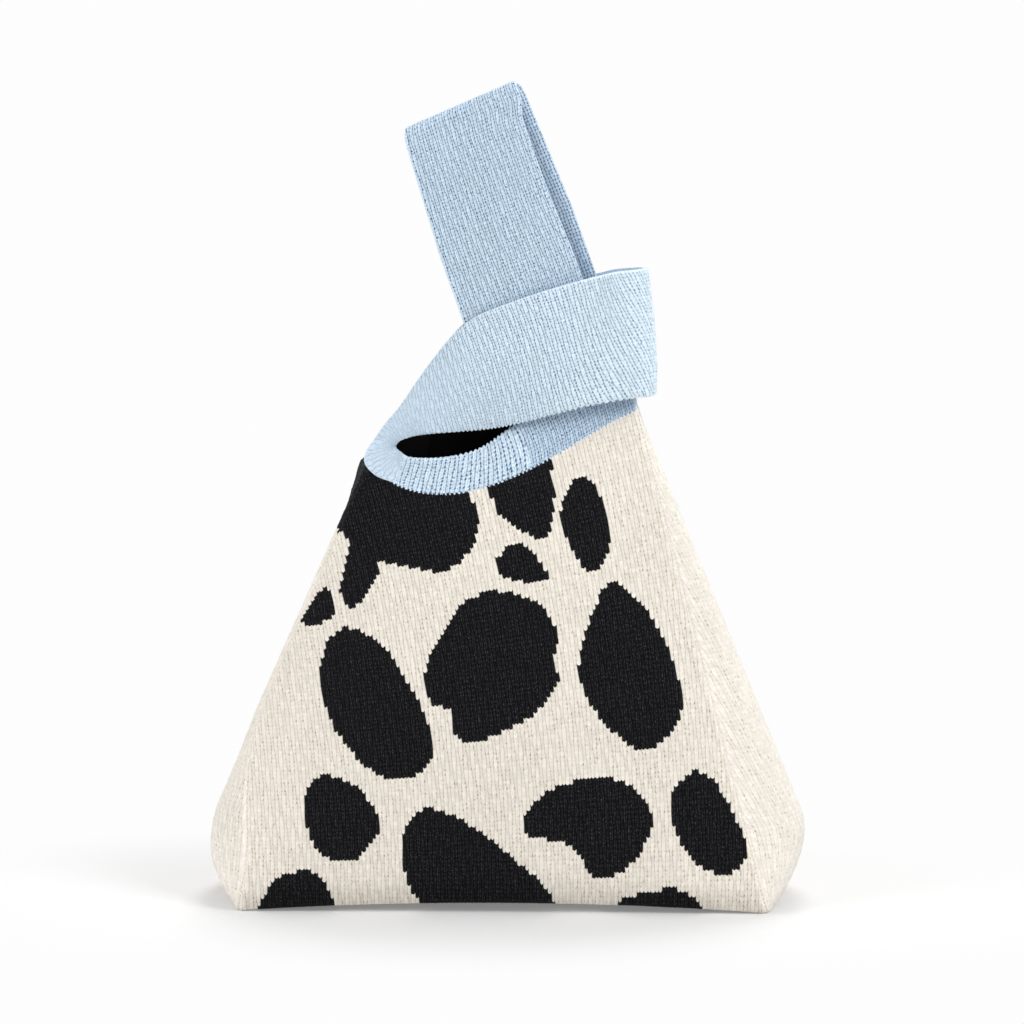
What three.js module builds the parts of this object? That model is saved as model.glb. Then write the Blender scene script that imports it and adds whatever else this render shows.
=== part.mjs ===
// Knitted knot bag: a wedge-shaped knitted body with two strap loops, the long loop passed up through the short one.
// Sizes are millimetres. Z is up, X is to the right and the front faces -Y. The origin is the middle of the base.
import * as THREE from "three";

// Cloth and seams
const KNIT_THICKNESS = 2.4;
const SEAM_RADIUS = 1.3;
const CLEARANCE = 0.4;

// Body
const BASE_WIDTH = 229;
const BASE_DEPTH = 90;
const BODY_HEIGHT = 216;
const SHOULDER_WIDTH = 114.4;
const SHOULDER_DEPTH = 12.2;
const PANEL_CROWN = 8;
const BASE_ROUND = 10;
const BASE_TUCK = 4;
const GUSSET_BULGE = 24;
const GUSSET_BULGE_HEIGHT = 35;
const GUSSET_TOP_BULGE = 2.6;

// Mouth band, as heights over the base and shares of the half width
const LEFT_SHOULDER_DROP = 21;
const BAND_DROP = 36;
const BAND_LOW_SHARE = -0.43;
const BAND_EASE = 1.2;
const SLIT_LEFT_SHARE = -0.8;
const SLIT_RIGHT_SHARE = 0.1;
const LIP_WIDTH = 14.4;
const LIP_RISE = 6.6;
const LIP_END = 4;
const BACK_LIP_RISE = 11;
const BACK_LIP_START_SHARE = -0.74;
const BACK_LIP_END_SHARE = -0.06;

// Short handle
const SHORT_HANDLE_WIDTH = 55;
const SHORT_HANDLE_REACH = 66;
const SHORT_HANDLE_RISE = 6;
const SHORT_HANDLE_HALF_GAP = 12.5;
const SHORT_HANDLE_TILT = 12;
const SHORT_ROOT_CURL = 5;
const SHORT_ROOT_GAP = 1.6;
const SHORT_BACK_RISE = 12;
const LOWER_EDGE_START_RUN = 20;
const LOWER_EDGE_START_RISE = 7;
const LOWER_EDGE_END_RUN = 52;
const UPPER_EDGE_START_RUN = 20;
const UPPER_EDGE_START_RISE = 36;
const UPPER_EDGE_END_RUN = 68;

// Long handle
const LONG_HANDLE_WIDTH = 54;
const LONG_HANDLE_LENGTH = 59;
const LONG_HANDLE_LEAN = 19.5;
const LONG_HANDLE_STAND = 82;
const LONG_HANDLE_OFFSET = -5;
const LONG_HANDLE_HALF_GAP = 5.5;
const LONG_HANDLE_SKEW = 4.5;
const BEND_HALF = 9;

// Fineness of the solids
const PANEL_STEPS = 18;
const STRIP_STEPS = 30;
const WIDTH_STEPS = 4;
const SEAM_STEPS = 22;
const SEAM_SIDES = 6;

// Values worked out from the sizes above
const HALF_CLOTH = KNIT_THICKNESS / 2;
const SEAM_GAP = SEAM_RADIUS + CLEARANCE;
const BASE_SEAM_HEIGHT = SEAM_RADIUS + CLEARANCE / 2;
const WALL_START = BASE_SEAM_HEIGHT + SEAM_GAP;
const LEAN = THREE.MathUtils.degToRad(LONG_HANDLE_LEAN);
const TILT = THREE.MathUtils.degToRad(SHORT_HANDLE_TILT);
const FRONT = -1;
const BACK = 1;
const LEFT = -1;
const RIGHT = 1;
const DEPTHWAYS = new THREE.Vector3(0, 1, 0);
const UPWARDS = new THREE.Vector3(0, 0, 1);

const mix = THREE.MathUtils.lerp;
const smooth = (value) => THREE.MathUtils.smoothstep(value, 0, 1);

// Body shape: half width and half depth at the side seams, and how far cloth bulges past them
function seamHalf(z) {
  return mix(BASE_WIDTH, SHOULDER_WIDTH, z / BODY_HEIGHT) / 2;
}

function seamDepth(z) {
  const turn = 1 - Math.min(z / BASE_ROUND, 1);
  return mix(BASE_DEPTH, SHOULDER_DEPTH, z / BODY_HEIGHT) / 2 - BASE_TUCK * turn * turn;
}

function crown(z) {
  return PANEL_CROWN * Math.sin(Math.PI * Math.min(Math.max(z / BODY_HEIGHT, 0), 1));
}

function gussetBulge(z) {
  if (z < GUSSET_BULGE_HEIGHT) {
    return GUSSET_BULGE * (1 - Math.pow(1 - z / GUSSET_BULGE_HEIGHT, 1.5));
  }
  const share = (z - GUSSET_BULGE_HEIGHT) / (BODY_HEIGHT - GUSSET_BULGE_HEIGHT);
  return mix(GUSSET_BULGE, GUSSET_TOP_BULGE, share);
}

function wallPoint(share, z, face) {
  const y = face * (seamDepth(z) + crown(z) * (1 - share * share));
  return new THREE.Vector3(share * seamHalf(z), y, z);
}

// Height of the line where the panel meets the mouth band, and of the band's own upper edge
function bandHeight(share) {
  const low = BODY_HEIGHT - BAND_DROP;
  if (share < BAND_LOW_SHARE) {
    const part = (BAND_LOW_SHARE - share) / (1 + BAND_LOW_SHARE);
    return low + (BAND_DROP - LEFT_SHOULDER_DROP) * part * part;
  }
  const part = (share - BAND_LOW_SHARE) / (1 - BAND_LOW_SHARE);
  return low + BAND_DROP * part * part * (1 + BAND_EASE - BAND_EASE * part);
}

// Upright room beside the band seam, so that the room square to the seam is the seam gap
function bandGap(share) {
  const delta = 1e-3;
  const rise = (bandHeight(share + delta) - bandHeight(share - delta)) / (2 * delta);
  return SEAM_GAP * Math.hypot(1, rise / seamHalf(bandHeight(share)));
}

// The lip stands higher at the back, which shuts off the view through the slit
function lipHeight(share, face) {
  const run = (share - BACK_LIP_START_SHARE) / (BACK_LIP_END_SHARE - BACK_LIP_START_SHARE);
  const hump = Math.pow(Math.sin(Math.PI * Math.min(Math.max(run, 0), 1)), 0.7);
  const extra = face === BACK ? BACK_LIP_RISE * hump : 0;
  const rise = smooth((share - BAND_LOW_SHARE) / (SLIT_RIGHT_SHARE - BAND_LOW_SHARE));
  const fall = Math.max(0, (share - SLIT_RIGHT_SHARE) / (1 - SLIT_RIGHT_SHARE));
  const crest = LIP_WIDTH + LIP_RISE * rise;
  return bandHeight(share) + mix(crest, LIP_END, fall) + extra;
}

// Closed body of cloth: a surface of two parameters, half the thickness to either side, with its four rims
function clothBody(pointAt, stepsU, stepsV) {
  const delta = 1e-3;
  const outer = [];
  const inner = [];
  for (let i = 0; i <= stepsU; i += 1) {
    for (let j = 0; j <= stepsV; j += 1) {
      const u = i / stepsU;
      const v = j / stepsV;
      const alongU = pointAt(Math.min(u + delta, 1), v).sub(pointAt(Math.max(u - delta, 0), v));
      const alongV = pointAt(u, Math.min(v + delta, 1)).sub(pointAt(u, Math.max(v - delta, 0)));
      const normal = alongU.cross(alongV).normalize().multiplyScalar(HALF_CLOTH);
      const middle = pointAt(u, v);
      outer.push(middle.clone().add(normal));
      inner.push(middle.clone().sub(normal));
    }
  }
  const points = outer.concat(inner);
  const count = outer.length;
  const at = (i, j) => i * (stepsV + 1) + j;
  const faces = [];
  const quad = (a, b, c, d) => faces.push(a, b, c, a, c, d);
  for (let i = 0; i < stepsU; i += 1) {
    for (let j = 0; j < stepsV; j += 1) {
      quad(at(i, j), at(i + 1, j), at(i + 1, j + 1), at(i, j + 1));
      quad(count + at(i, j), count + at(i, j + 1), count + at(i + 1, j + 1), count + at(i + 1, j));
    }
    quad(count + at(i, 0), count + at(i + 1, 0), at(i + 1, 0), at(i, 0));
    quad(at(i, stepsV), at(i + 1, stepsV), count + at(i + 1, stepsV), count + at(i, stepsV));
  }
  for (let j = 0; j < stepsV; j += 1) {
    quad(at(0, j), at(0, j + 1), count + at(0, j + 1), count + at(0, j));
    quad(count + at(stepsU, j), count + at(stepsU, j + 1), at(stepsU, j + 1), at(stepsU, j));
  }
  return outward(points, faces);
}

// Closed cord along a run of points, mitred where the run turns, capped at its ends unless it closes on itself.
// The flat direction is one that the run never follows.
function cordBody(run, closed, flat) {
  const rings = run.length;
  const steps = closed ? rings : rings - 1;
  const points = [];
  for (let i = 0; i < rings; i += 1) {
    const before = run[closed ? (i + rings - 1) % rings : Math.max(i - 1, 0)];
    const after = run[closed ? (i + 1) % rings : Math.min(i + 1, rings - 1)];
    const incoming = run[i].clone().sub(before).normalize();
    const outgoing = after.clone().sub(run[i]).normalize();
    const along = incoming.clone().add(outgoing).normalize();
    const side = along.clone().cross(flat).normalize();
    const top = side.clone().cross(along);
    const mitre = 1 / Math.max(along.dot(incoming), along.dot(outgoing));
    for (let k = 0; k < SEAM_SIDES; k += 1) {
      const angle = (2 * Math.PI * k) / SEAM_SIDES;
      const reach = side.clone().multiplyScalar(Math.cos(angle) * SEAM_RADIUS * mitre);
      reach.addScaledVector(top, Math.sin(angle) * SEAM_RADIUS);
      points.push(run[i].clone().add(reach));
    }
  }
  const faces = [];
  for (let i = 0; i < steps; i += 1) {
    const next = (i + 1) % rings;
    for (let k = 0; k < SEAM_SIDES; k += 1) {
      const turn = (k + 1) % SEAM_SIDES;
      const a = i * SEAM_SIDES + k;
      const b = i * SEAM_SIDES + turn;
      const c = next * SEAM_SIDES + turn;
      const d = next * SEAM_SIDES + k;
      faces.push(a, b, c, a, c, d);
    }
  }
  if (!closed) {
    const last = (rings - 1) * SEAM_SIDES;
    for (let k = 1; k < SEAM_SIDES - 1; k += 1) {
      faces.push(0, k + 1, k);
      faces.push(last, last + k, last + k + 1);
    }
  }
  return outward(points, faces);
}

// Geometry whose faces point outwards
function outward(points, faces) {
  let volume = 0;
  for (let i = 0; i < faces.length; i += 3) {
    const a = points[faces[i]];
    const b = points[faces[i + 1]];
    const c = points[faces[i + 2]];
    volume += a.dot(b.clone().cross(c));
  }
  if (volume < 0) {
    faces.reverse();
  }
  const geometry = new THREE.BufferGeometry().setFromPoints(points);
  geometry.setIndex(faces);
  geometry.computeVertexNormals();
  return geometry;
}

// Body panels
function panelPoint(face) {
  return (u, v) => {
    const top = (2 * u - 1) * (1 - SEAM_GAP / seamHalf(BODY_HEIGHT));
    const z = mix(WALL_START, bandHeight(top) - bandGap(top), v);
    const share = (2 * u - 1) * (1 - SEAM_GAP / seamHalf(z));
    return wallPoint(share, z, face);
  };
}

function gussetPoint(side) {
  return (u, v) => {
    const z = mix(WALL_START, bandHeight(side) - SEAM_GAP, v);
    const bulge = gussetBulge(z);
    const depth = seamDepth(z);
    const across = (2 * u - 1) * (1 - SEAM_GAP / Math.hypot(2 * bulge, depth));
    const x = side * (seamHalf(z) + bulge * (1 - across * across));
    return new THREE.Vector3(x, across * depth, z);
  };
}

function basePoint(u, v) {
  const x = (2 * u - 1) * (seamHalf(0) - SEAM_GAP);
  const y = (2 * v - 1) * (seamDepth(0) - SEAM_GAP);
  return new THREE.Vector3(x, y, HALF_CLOTH);
}

function bandPoint(face) {
  const start = SLIT_LEFT_SHARE + CLEARANCE / seamHalf(BODY_HEIGHT);
  const end = 1 - SEAM_GAP / seamHalf(BODY_HEIGHT);
  return (u, v) => {
    const share = mix(start, end, u);
    return wallPoint(share, mix(bandHeight(share) + bandGap(share), lipHeight(share, face), v), face);
  };
}

// Long handle: along the strap, across it, and the skew of its back half
const alongStrap = new THREE.Vector3(-Math.sin(LEAN), 0, Math.cos(LEAN));
const acrossStrap = new THREE.Vector3(Math.cos(LEAN), 0, Math.sin(LEAN));
const longRootShare = (SLIT_RIGHT_SHARE + 1) / 2;
const longRootMiddle = wallPoint(longRootShare, lipHeight(longRootShare, FRONT), FRONT).setY(0);
const longBend = longRootMiddle.clone().addScaledVector(alongStrap, LONG_HANDLE_STAND);
longBend.x += LONG_HANDLE_OFFSET;

function strapPoint(along, across, y, skew) {
  const point = longBend.clone().addScaledVector(alongStrap, along);
  point.addScaledVector(acrossStrap, across + skew);
  return point.setY(y);
}

function longRootPoint(face) {
  const edge = 1 - SEAM_GAP / seamHalf(BODY_HEIGHT);
  const skew = face === BACK ? LONG_HANDLE_SKEW : 0;
  return (u, v) => {
    const share = mix(SLIT_RIGHT_SHARE, edge, v);
    const foot = wallPoint(share, lipHeight(share, face) + CLEARANCE, face);
    const across = (v - 0.5) * LONG_HANDLE_WIDTH;
    const head = strapPoint(-BEND_HALF - CLEARANCE, across, face * LONG_HANDLE_HALF_GAP, skew);
    const point = foot.clone().lerp(head, u);
    return point.setY(mix(foot.y, head.y, smooth(u * 2)));
  };
}

function longBendPoint(face) {
  const skew = face === BACK ? LONG_HANDLE_SKEW : 0;
  return (u, v) => strapPoint(
    (2 * u - 1) * BEND_HALF, (v - 0.5) * LONG_HANDLE_WIDTH, face * LONG_HANDLE_HALF_GAP, skew);
}

function longLoopPoint(u, v) {
  const foot = BEND_HALF + CLEARANCE;
  const turn = LONG_HANDLE_LENGTH - LONG_HANDLE_HALF_GAP;
  const leg = turn - foot;
  const arc = Math.PI * LONG_HANDLE_HALF_GAP;
  const path = u * (2 * leg + arc);
  const across = (v - 0.5) * LONG_HANDLE_WIDTH;
  if (path < leg) {
    return strapPoint(foot + path, across, -LONG_HANDLE_HALF_GAP, 0);
  }
  if (path < leg + arc) {
    const angle = (path - leg) / LONG_HANDLE_HALF_GAP;
    const rise = LONG_HANDLE_HALF_GAP * Math.sin(angle);
    return strapPoint(turn + rise, across, -LONG_HANDLE_HALF_GAP * Math.cos(angle), 0);
  }
  const drop = path - leg - arc;
  return strapPoint(turn - drop, across, LONG_HANDLE_HALF_GAP, LONG_HANDLE_SKEW * drop / leg);
}

// Short handle: its lower and upper edges from the left shoulder to the start of the right-hand fold
const slitTop = lipHeight(SLIT_LEFT_SHARE, FRONT) + 2 * CLEARANCE;
const slitCorner = wallPoint(SLIT_LEFT_SHARE, slitTop, FRONT);
const shoulderEdge = wallPoint(LEFT, slitCorner.z + 2 * CLEARANCE, FRONT);
const foldStart = SHORT_HANDLE_REACH - SHORT_HANDLE_HALF_GAP;
const foldLow = BODY_HEIGHT + SHORT_HANDLE_RISE;
const foldHigh = foldLow + SHORT_HANDLE_WIDTH;
function lowerEdge(share, face) {
  const lift = face === BACK ? SHORT_BACK_RISE : 0;
  const edge = new THREE.CubicBezierCurve(
    new THREE.Vector2(slitCorner.x, slitCorner.z),
    new THREE.Vector2(slitCorner.x + LOWER_EDGE_START_RUN, slitCorner.z + LOWER_EDGE_START_RISE + lift),
    new THREE.Vector2(foldStart - LOWER_EDGE_END_RUN, foldLow - LOWER_EDGE_END_RUN * Math.tan(TILT) + lift / 2),
    new THREE.Vector2(foldStart, foldLow));
  return edge.getPoint(share);
}

const upperEdge = new THREE.CubicBezierCurve(
  new THREE.Vector2(shoulderEdge.x, shoulderEdge.z),
  new THREE.Vector2(shoulderEdge.x + UPPER_EDGE_START_RUN, shoulderEdge.z + UPPER_EDGE_START_RISE),
  new THREE.Vector2(foldStart - UPPER_EDGE_END_RUN, foldHigh - UPPER_EDGE_END_RUN * Math.tan(TILT)),
  new THREE.Vector2(foldStart, foldHigh));

function shortPoint(share, width, face) {
  const low = lowerEdge(share, face);
  const high = upperEdge.getPoint(share);
  const settle = smooth(share * 1.6);
  const curl = (1 - settle) * SHORT_ROOT_CURL * width * width;
  const depth = mix(-slitCorner.y, SHORT_HANDLE_HALF_GAP, settle) - curl;
  return new THREE.Vector3(mix(low.x, high.x, width), face * depth, mix(low.y, high.y, width));
}

function shortLoopPoint(u, v) {
  const straight = 0.4;
  const fromRoot = Math.min(u, 1 - u);
  const face = u < 0.5 ? FRONT : BACK;
  if (fromRoot < straight) {
    return shortPoint(fromRoot / straight, v, face);
  }
  const angle = (Math.PI / 2) * (fromRoot - straight) / (0.5 - straight);
  const point = shortPoint(1, v, face);
  const reach = SHORT_HANDLE_HALF_GAP * Math.sin(angle);
  point.x += reach * Math.cos(TILT);
  point.z += reach * Math.sin(TILT);
  return point.setY(face * SHORT_HANDLE_HALF_GAP * Math.cos(angle));
}

function shortRootPoint(face) {
  return (u, v) => {
    const share = mix(-1, SLIT_LEFT_SHARE - CLEARANCE / seamHalf(BODY_HEIGHT), u);
    const foot = wallPoint(share, bandHeight(share) + bandGap(share), face);
    const head = shortPoint(0, 1 - u, face);
    head.z -= SHORT_ROOT_GAP;
    return foot.lerp(head, v);
  };
}

// Seams: runs of points along the lines where the panels meet
function sideSeam(side, face) {
  const run = [];
  const start = BASE_SEAM_HEIGHT + SEAM_RADIUS * 2 + CLEARANCE;
  const end = bandHeight(side) - SEAM_RADIUS * 2 - CLEARANCE;
  for (let i = 0; i <= SEAM_STEPS; i += 1) {
    run.push(wallPoint(side, mix(start, end, i / SEAM_STEPS), face));
  }
  return run;
}

function bandSeam(face) {
  const run = [];
  for (let i = 0; i <= SEAM_STEPS; i += 1) {
    const share = mix(-1, 1, i / SEAM_STEPS);
    run.push(wallPoint(share, bandHeight(share), face));
  }
  return run;
}

function baseSeam() {
  const width = seamHalf(0);
  const depth = seamDepth(0);
  const corners = [[-width, -depth], [width, -depth], [width, depth], [-width, depth]];
  return corners.map(([x, y]) => new THREE.Vector3(x, y, BASE_SEAM_HEIGHT));
}

// Assembly
const cream = new THREE.MeshStandardMaterial({ color: 0xe9e1d1, roughness: 0.95 });
const blue = new THREE.MeshStandardMaterial({ color: 0xb9cfe2, roughness: 0.95 });
const yarn = new THREE.MeshStandardMaterial({ color: 0xdcd2be, roughness: 0.95 });
const bag = new THREE.Group();

function add(name, geometry, material) {
  const mesh = new THREE.Mesh(geometry, material);
  mesh.name = name;
  bag.add(mesh);
}

for (const [faceName, face] of [["front", FRONT], ["back", BACK]]) {
  add(`${faceName}_panel`, clothBody(panelPoint(face), PANEL_STEPS, PANEL_STEPS), cream);
  add(`${faceName}_band`, clothBody(bandPoint(face), STRIP_STEPS, WIDTH_STEPS), blue);
  add(`${faceName}_band_seam`, cordBody(bandSeam(face), false, DEPTHWAYS), yarn);
  add(`long_handle_root_${faceName}`, clothBody(longRootPoint(face), 10, WIDTH_STEPS), blue);
  add(`long_handle_bend_${faceName}`, clothBody(longBendPoint(face), 2, WIDTH_STEPS), blue);
  add(`short_handle_root_${faceName}`, clothBody(shortRootPoint(face), 3, 4), blue);
  for (const [sideName, side] of [["left", LEFT], ["right", RIGHT]]) {
    add(`${faceName}_${sideName}_seam`, cordBody(sideSeam(side, face), false, DEPTHWAYS), yarn);
  }
}
for (const [sideName, side] of [["left", LEFT], ["right", RIGHT]]) {
  add(`${sideName}_gusset`, clothBody(gussetPoint(side), 10, PANEL_STEPS), cream);
}
add("base_panel", clothBody(basePoint, 4, 4), cream);
add("base_seam", cordBody(baseSeam(), true, UPWARDS), yarn);
add("long_handle_loop", clothBody(longLoopPoint, STRIP_STEPS, WIDTH_STEPS), blue);
add("short_handle_loop", clothBody(shortLoopPoint, STRIP_STEPS * 2, WIDTH_STEPS), blue);

export default bag;
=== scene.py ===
"""Looks of a knitted knot bag: a spotted knitted body and two pale blue strap loops, stitch by stitch."""
import math
from collections import namedtuple

import bpy
import numpy as np
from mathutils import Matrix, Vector


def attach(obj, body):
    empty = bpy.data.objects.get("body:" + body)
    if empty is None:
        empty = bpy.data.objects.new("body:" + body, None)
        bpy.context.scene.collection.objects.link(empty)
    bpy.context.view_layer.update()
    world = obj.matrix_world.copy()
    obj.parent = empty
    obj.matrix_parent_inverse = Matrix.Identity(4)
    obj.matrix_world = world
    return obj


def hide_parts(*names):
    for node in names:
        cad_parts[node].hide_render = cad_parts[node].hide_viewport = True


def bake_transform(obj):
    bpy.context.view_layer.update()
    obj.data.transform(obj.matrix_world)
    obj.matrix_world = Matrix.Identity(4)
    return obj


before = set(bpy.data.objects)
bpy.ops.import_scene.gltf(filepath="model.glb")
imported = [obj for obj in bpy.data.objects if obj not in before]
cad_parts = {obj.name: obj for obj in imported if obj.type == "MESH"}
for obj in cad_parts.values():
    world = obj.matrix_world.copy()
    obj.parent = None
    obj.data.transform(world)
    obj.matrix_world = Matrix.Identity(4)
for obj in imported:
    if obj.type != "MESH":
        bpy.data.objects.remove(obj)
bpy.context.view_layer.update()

# Sizes are millimetres here and become metres when a mesh is made
MM = 0.001
FRONT = -1
BACK = 1
LEFT = -1
RIGHT = 1

# Cloth
CLOTH_THICKNESS = 2.4
EDGE_ROUND = 1.5
EDGE_THICKNESS_SHARE = 0.3
NORMAL_STEP = 0.15
MERGE_DIGITS = 3
BAKE_STARTS = (0, 0.89)
BAKE_SHARES = (0.86, 0.1)

# Stitches
COLUMNS_PER_STITCH = 4
ROWS_PER_STITCH = 2
BODY_WALE = 1.6
BODY_COURSE = 1.95
LONG_WALE = 1.3
LONG_COURSE = 1.55
SHORT_WALE = 1.62
SHORT_COURSE = 1.45
BAND_WALE = 1.96
SHORT_SLANT = 0.4
SHORT_SLANT_FROM = 35
SHORT_SLANT_RUN = 90
WALE_LEAN = 0.00065
WALE_WANDER = 0.2
WANDER_WAVE = 0.33
WANDER_SHIFT = 2.4
CHEVRON = 0.34
RELIEF_SHARE = 0.3
STITCH_UNEVEN = 0.25
MIDDLE_HEIGHT = 0.5
JOINT_HEIGHT = 0.86

# Depth of the painted shade in the yarn's hollows, and how far each reaches in shares of a stitch
GROOVE_SHADE = 0.36
GROOVE_REACH = 0.24
MIDDLE_SHADE = 0.2
MIDDLE_REACH = 0.14
JOINT_SHADE = 0.05
JOINT_REACH = 0.32
BODY_PINS = (0.03,)
LONG_PINS = (0.16,)
SHORT_PINS = (0.2,)
BAND_PINS = (0.34, 0.06)
PIN_MOST = 0.52
PIN_REACH = 0.36
PIN_WANDER = 0.45
PIN_RARITY = 6
PIN_RUN = 7
SELVEDGE_STEP = 3

# Tones of the cloths, a higher one darker, painted shade and painted light among them, and streaks in the
# yarn
# Painted shade where stitches crowd, and the share of the hollows' painted shade left at a free edge, which
# paints a lighter rim
CROWDED_SHADE = 0.2
EDGE_SHADE_SHARE = 0.4
PANEL_TONE = 0.035
SIDE_TONE = -0.015
# Painted shade: the whole long strap darker, as it lies behind the short strap
LONG_PAINTED_SHADE = 0.1
# Darker roots of the long strap: partly stretched knit, partly painted shade under the short strap
LONG_ROOT_STRETCH_AND_SHADE = 0.05
LONG_ROOT_STRETCH_AND_SHADE_RUN = 45
BAND_TONE = 0.07
SHORT_TONE = 0.005
# Painted highlight on the short strap's fold, where light falls on it
SHORT_FOLD_PAINTED_LIGHT = -0.06
SHORT_FOLD_PAINTED_LIGHT_RUN = 60
# Painted shade on inner sides: the first where an inner side has its own dye, the second where it shows the
# stitches
LINING_SHADE = 0.32
INSIDE_PAINTED_SHADE = 0.13
LINING_PINS = 0.35
GRAIN_ACROSS = 3.9
GRAIN_ALONG = 2.4
GRAIN_LIGHT = -0.06
GRAIN_DARK = 0.3

# Body
BASE_WIDTH = 229
BASE_DEPTH = 90
BODY_HEIGHT = 216
SHOULDER_WIDTH = 114.4
SHOULDER_DEPTH = 12.2
PANEL_CROWN = 8
WALL_SOFTNESS = 0.7
WAVE_LONG = (19, 27)
WAVE_START = (0.7, 1.3)
WAVE_SHORT = (11, 16)
WAVE_SHORT_SHARE = 0.6
BASE_ROUND = 13
BASE_TUCK = 6
BASE_LIFT = 4
BASE_RISE = 0.55
BASE_BOW = {LEFT: 3, RIGHT: 3.5}
FOOT_GAP = 0.3
GUSSET_BULGE = {LEFT: 23, RIGHT: 25}
GUSSET_BULGE_HEIGHT = {LEFT: 40, RIGHT: 36}
GUSSET_LOW_ROUND = {LEFT: 2.6, RIGHT: 1.7}
GUSSET_TOP_BULGE = {LEFT: -4, RIGHT: -1}
GUSSET_TOP_HEIGHT = {LEFT: 192.5, RIGHT: 216}
GUSSET_TRIM = {LEFT: 0, RIGHT: 5}
GUSSET_GIVE = {LEFT: 0.7, RIGHT: 0}
GUSSET_FULLNESS = 2.8
LEFT_SPREAD_LOW = 0.12
LEFT_SPREAD_HIGH = 0.95
LEFT_SPREAD_FROM = 15
LEFT_SPREAD_RUN = 75
LEFT_WRAP = 0.5
LEFT_WRAP_END = 140
PANEL_SPARE = 2
GUSSET_SPARE = 4
PANEL_INNER_STEP = (6, 6)
GUSSET_INNER_STEP = (5, 5)
PANEL_FLAT = (0.232, 0.222)
PANEL_AREA = 0.0355
GUSSET_FLAT = (0.1, 0.22)
GUSSET_AREA = 0.0135
BASE_FLAT = (0.229, 0.079)

# Mouth band, as heights over the base and shares of the half width
LEFT_SHOULDER_DROP = 23
BAND_DROP = 36
BAND_LOW_SHARE = -0.43
BAND_EASE = 1.2
BAND_LOOKUPS = 8
BAND_RUN = {FRONT: 58, BACK: 46}
SLIT_LEFT_SHARE = {FRONT: -0.755, BACK: -0.55}
SLIT_RIGHT_SHARE = 0.18
JOIN_LAP = 0.02
LIP_WIDTH = {FRONT: 16, BACK: 25}
LIP_LOW = 195.6
LIP_LOW_SHARE = -0.56
LIP_LEFT_RISE = 4.8
LIP_LEFT_RUN = 0.275
LIP_LEFT_POWER = 4
LIP_RIGHT_RISE = 14.75
LIP_RIGHT_POWER = 1.8
LIP_END_WIDTH = 20.3
LIP_ROLL = {FRONT: 1.2, BACK: -0.5}
BACK_LIP_HEIGHT = 210.2
LIP_COURSES = {FRONT: 10, BACK: 15}
SCALLOP_DEPTH = 1.1
SCALLOP_PITCH = 2.25
SCALLOP_STEP = SCALLOP_PITCH / 4
BAND_INNER_STEP = (SCALLOP_STEP, 3)

# Long handle: how it lies above and below its bend, and the lengths along one half of it
LONG_WIDTH = 54
LONG_LENGTH = 59
LONG_LEAN = math.radians(19.5)
LONG_BEND = np.array([-0.88, 0, 293.09])
LONG_FOLD_RADIUS = 4
LONG_GAP = 4.4
LONG_SKEW = 4.8
LONG_SKEW_TOP = 1.8
LONG_TOP_SLOPE = 3.5
LONG_FLARE = 2.4
LONG_TUCK = 2.7
LONG_TUCK_START = 13
LONG_TUCK_HOLD = 40
LONG_TUCK_EASE = 38
LONG_TUCK_LEAST = 0.4
LONG_STRAIGHT_FROM = -36
LONG_ROOT = 60
LONG_CROWN = 2
LONG_CROWN_RUN = 20
LONG_FOLD_PINCH = 0.03
LONG_FOLD_PINCH_RUN = 9
LONG_RIGHT_SHARE = 1
LONG_INNER_STEP = (2, 2)
LONG_ALONG = np.array([-math.sin(LONG_LEAN), 0, math.cos(LONG_LEAN)])
LONG_ACROSS = np.array([math.cos(LONG_LEAN), 0, math.sin(LONG_LEAN)])
LONG_TURN = LONG_LENGTH - LONG_FOLD_RADIUS
LONG_FOLD = math.pi * LONG_FOLD_RADIUS / 2
LONG_STRAIGHT = LONG_TURN - LONG_STRAIGHT_FROM
LONG_HALF = LONG_FOLD + LONG_STRAIGHT + LONG_ROOT
BEND_REACH = 14 * LONG_ALONG

# Short handle: its lower and upper edge from the mouth band to the right-hand fold, as x, depth and z
SHORT_WIDTH = 55
SHORT_LOWER_EDGE = [
    (-45.3, 9.3, 197.5), (-47.2, 9.0, 199.2), (-47.4, 8.8, 200.8), (-45.9, 9.0, 202.5),
    (-40.7, 9.5, 204.4), (-33, 10.2, 205.6), (-22, 11, 206.5), (-10, 12, 207.6),
    (4, 13.2, 209.9), (22, 14, 214.6), (40, 14, 218.9), (54.5, 12.5, 221.2)]
SHORT_UPPER_EDGE = [
    (-57.6, 12.9, 188.6), (-61.4, 11.2, 193.8), (-56, 6.8, 203.5), (-51.5, 5.4, 209.5),
    (-45.5, 4.6, 216.6), (-37, 4.6, 229.5), (-29, 5.2, 240.8), (-16.3, 8, 254.4),
    (5.5, 10.6, 264.3), (28, 12, 271.5), (42, 12, 275.2), (49.5, 11.5, 276.8)]
SHORT_BACK_LOWER_EDGE = [
    (-33.6, 9.2, 206.5), (-33.4, 9.6, 207.0), (-32, 10, 207.5), (-29.5, 10.4, 207.9),
    (-26, 10.7, 208.3), (-22, 10.9, 208.8), (-16, 11.2, 209.5), (-6, 11.6, 210.7),
    (8, 12, 212.9), (24, 12.1, 216.4), (40, 12, 219.6), (53, 11.5, 221.5)]
SHORT_FOLD_REACH = 11
SHORT_FOLD_RISE = 1
SHORT_FOLD_STEPS = 8
SHORT_CROWN = 3
SHORT_CROWN_RUN = 40
SHORT_CROWN_FADE = 60
SHORT_CROWN_LEAST = 0.4
SHORT_BACK_DROP = 0.2
SHORT_BACK_DROP_RUN = 40
SHORT_DARK_RUN = 75
SHORT_STEP = 0.3
SHORT_INNER_STEP = (SCALLOP_STEP, 4)
SHORT_FLAT_LENGTH = 0.3
SWING_FROM = np.array([-56, 0, 193])
SWING_TO = np.array([-40, 0, 212])

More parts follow.
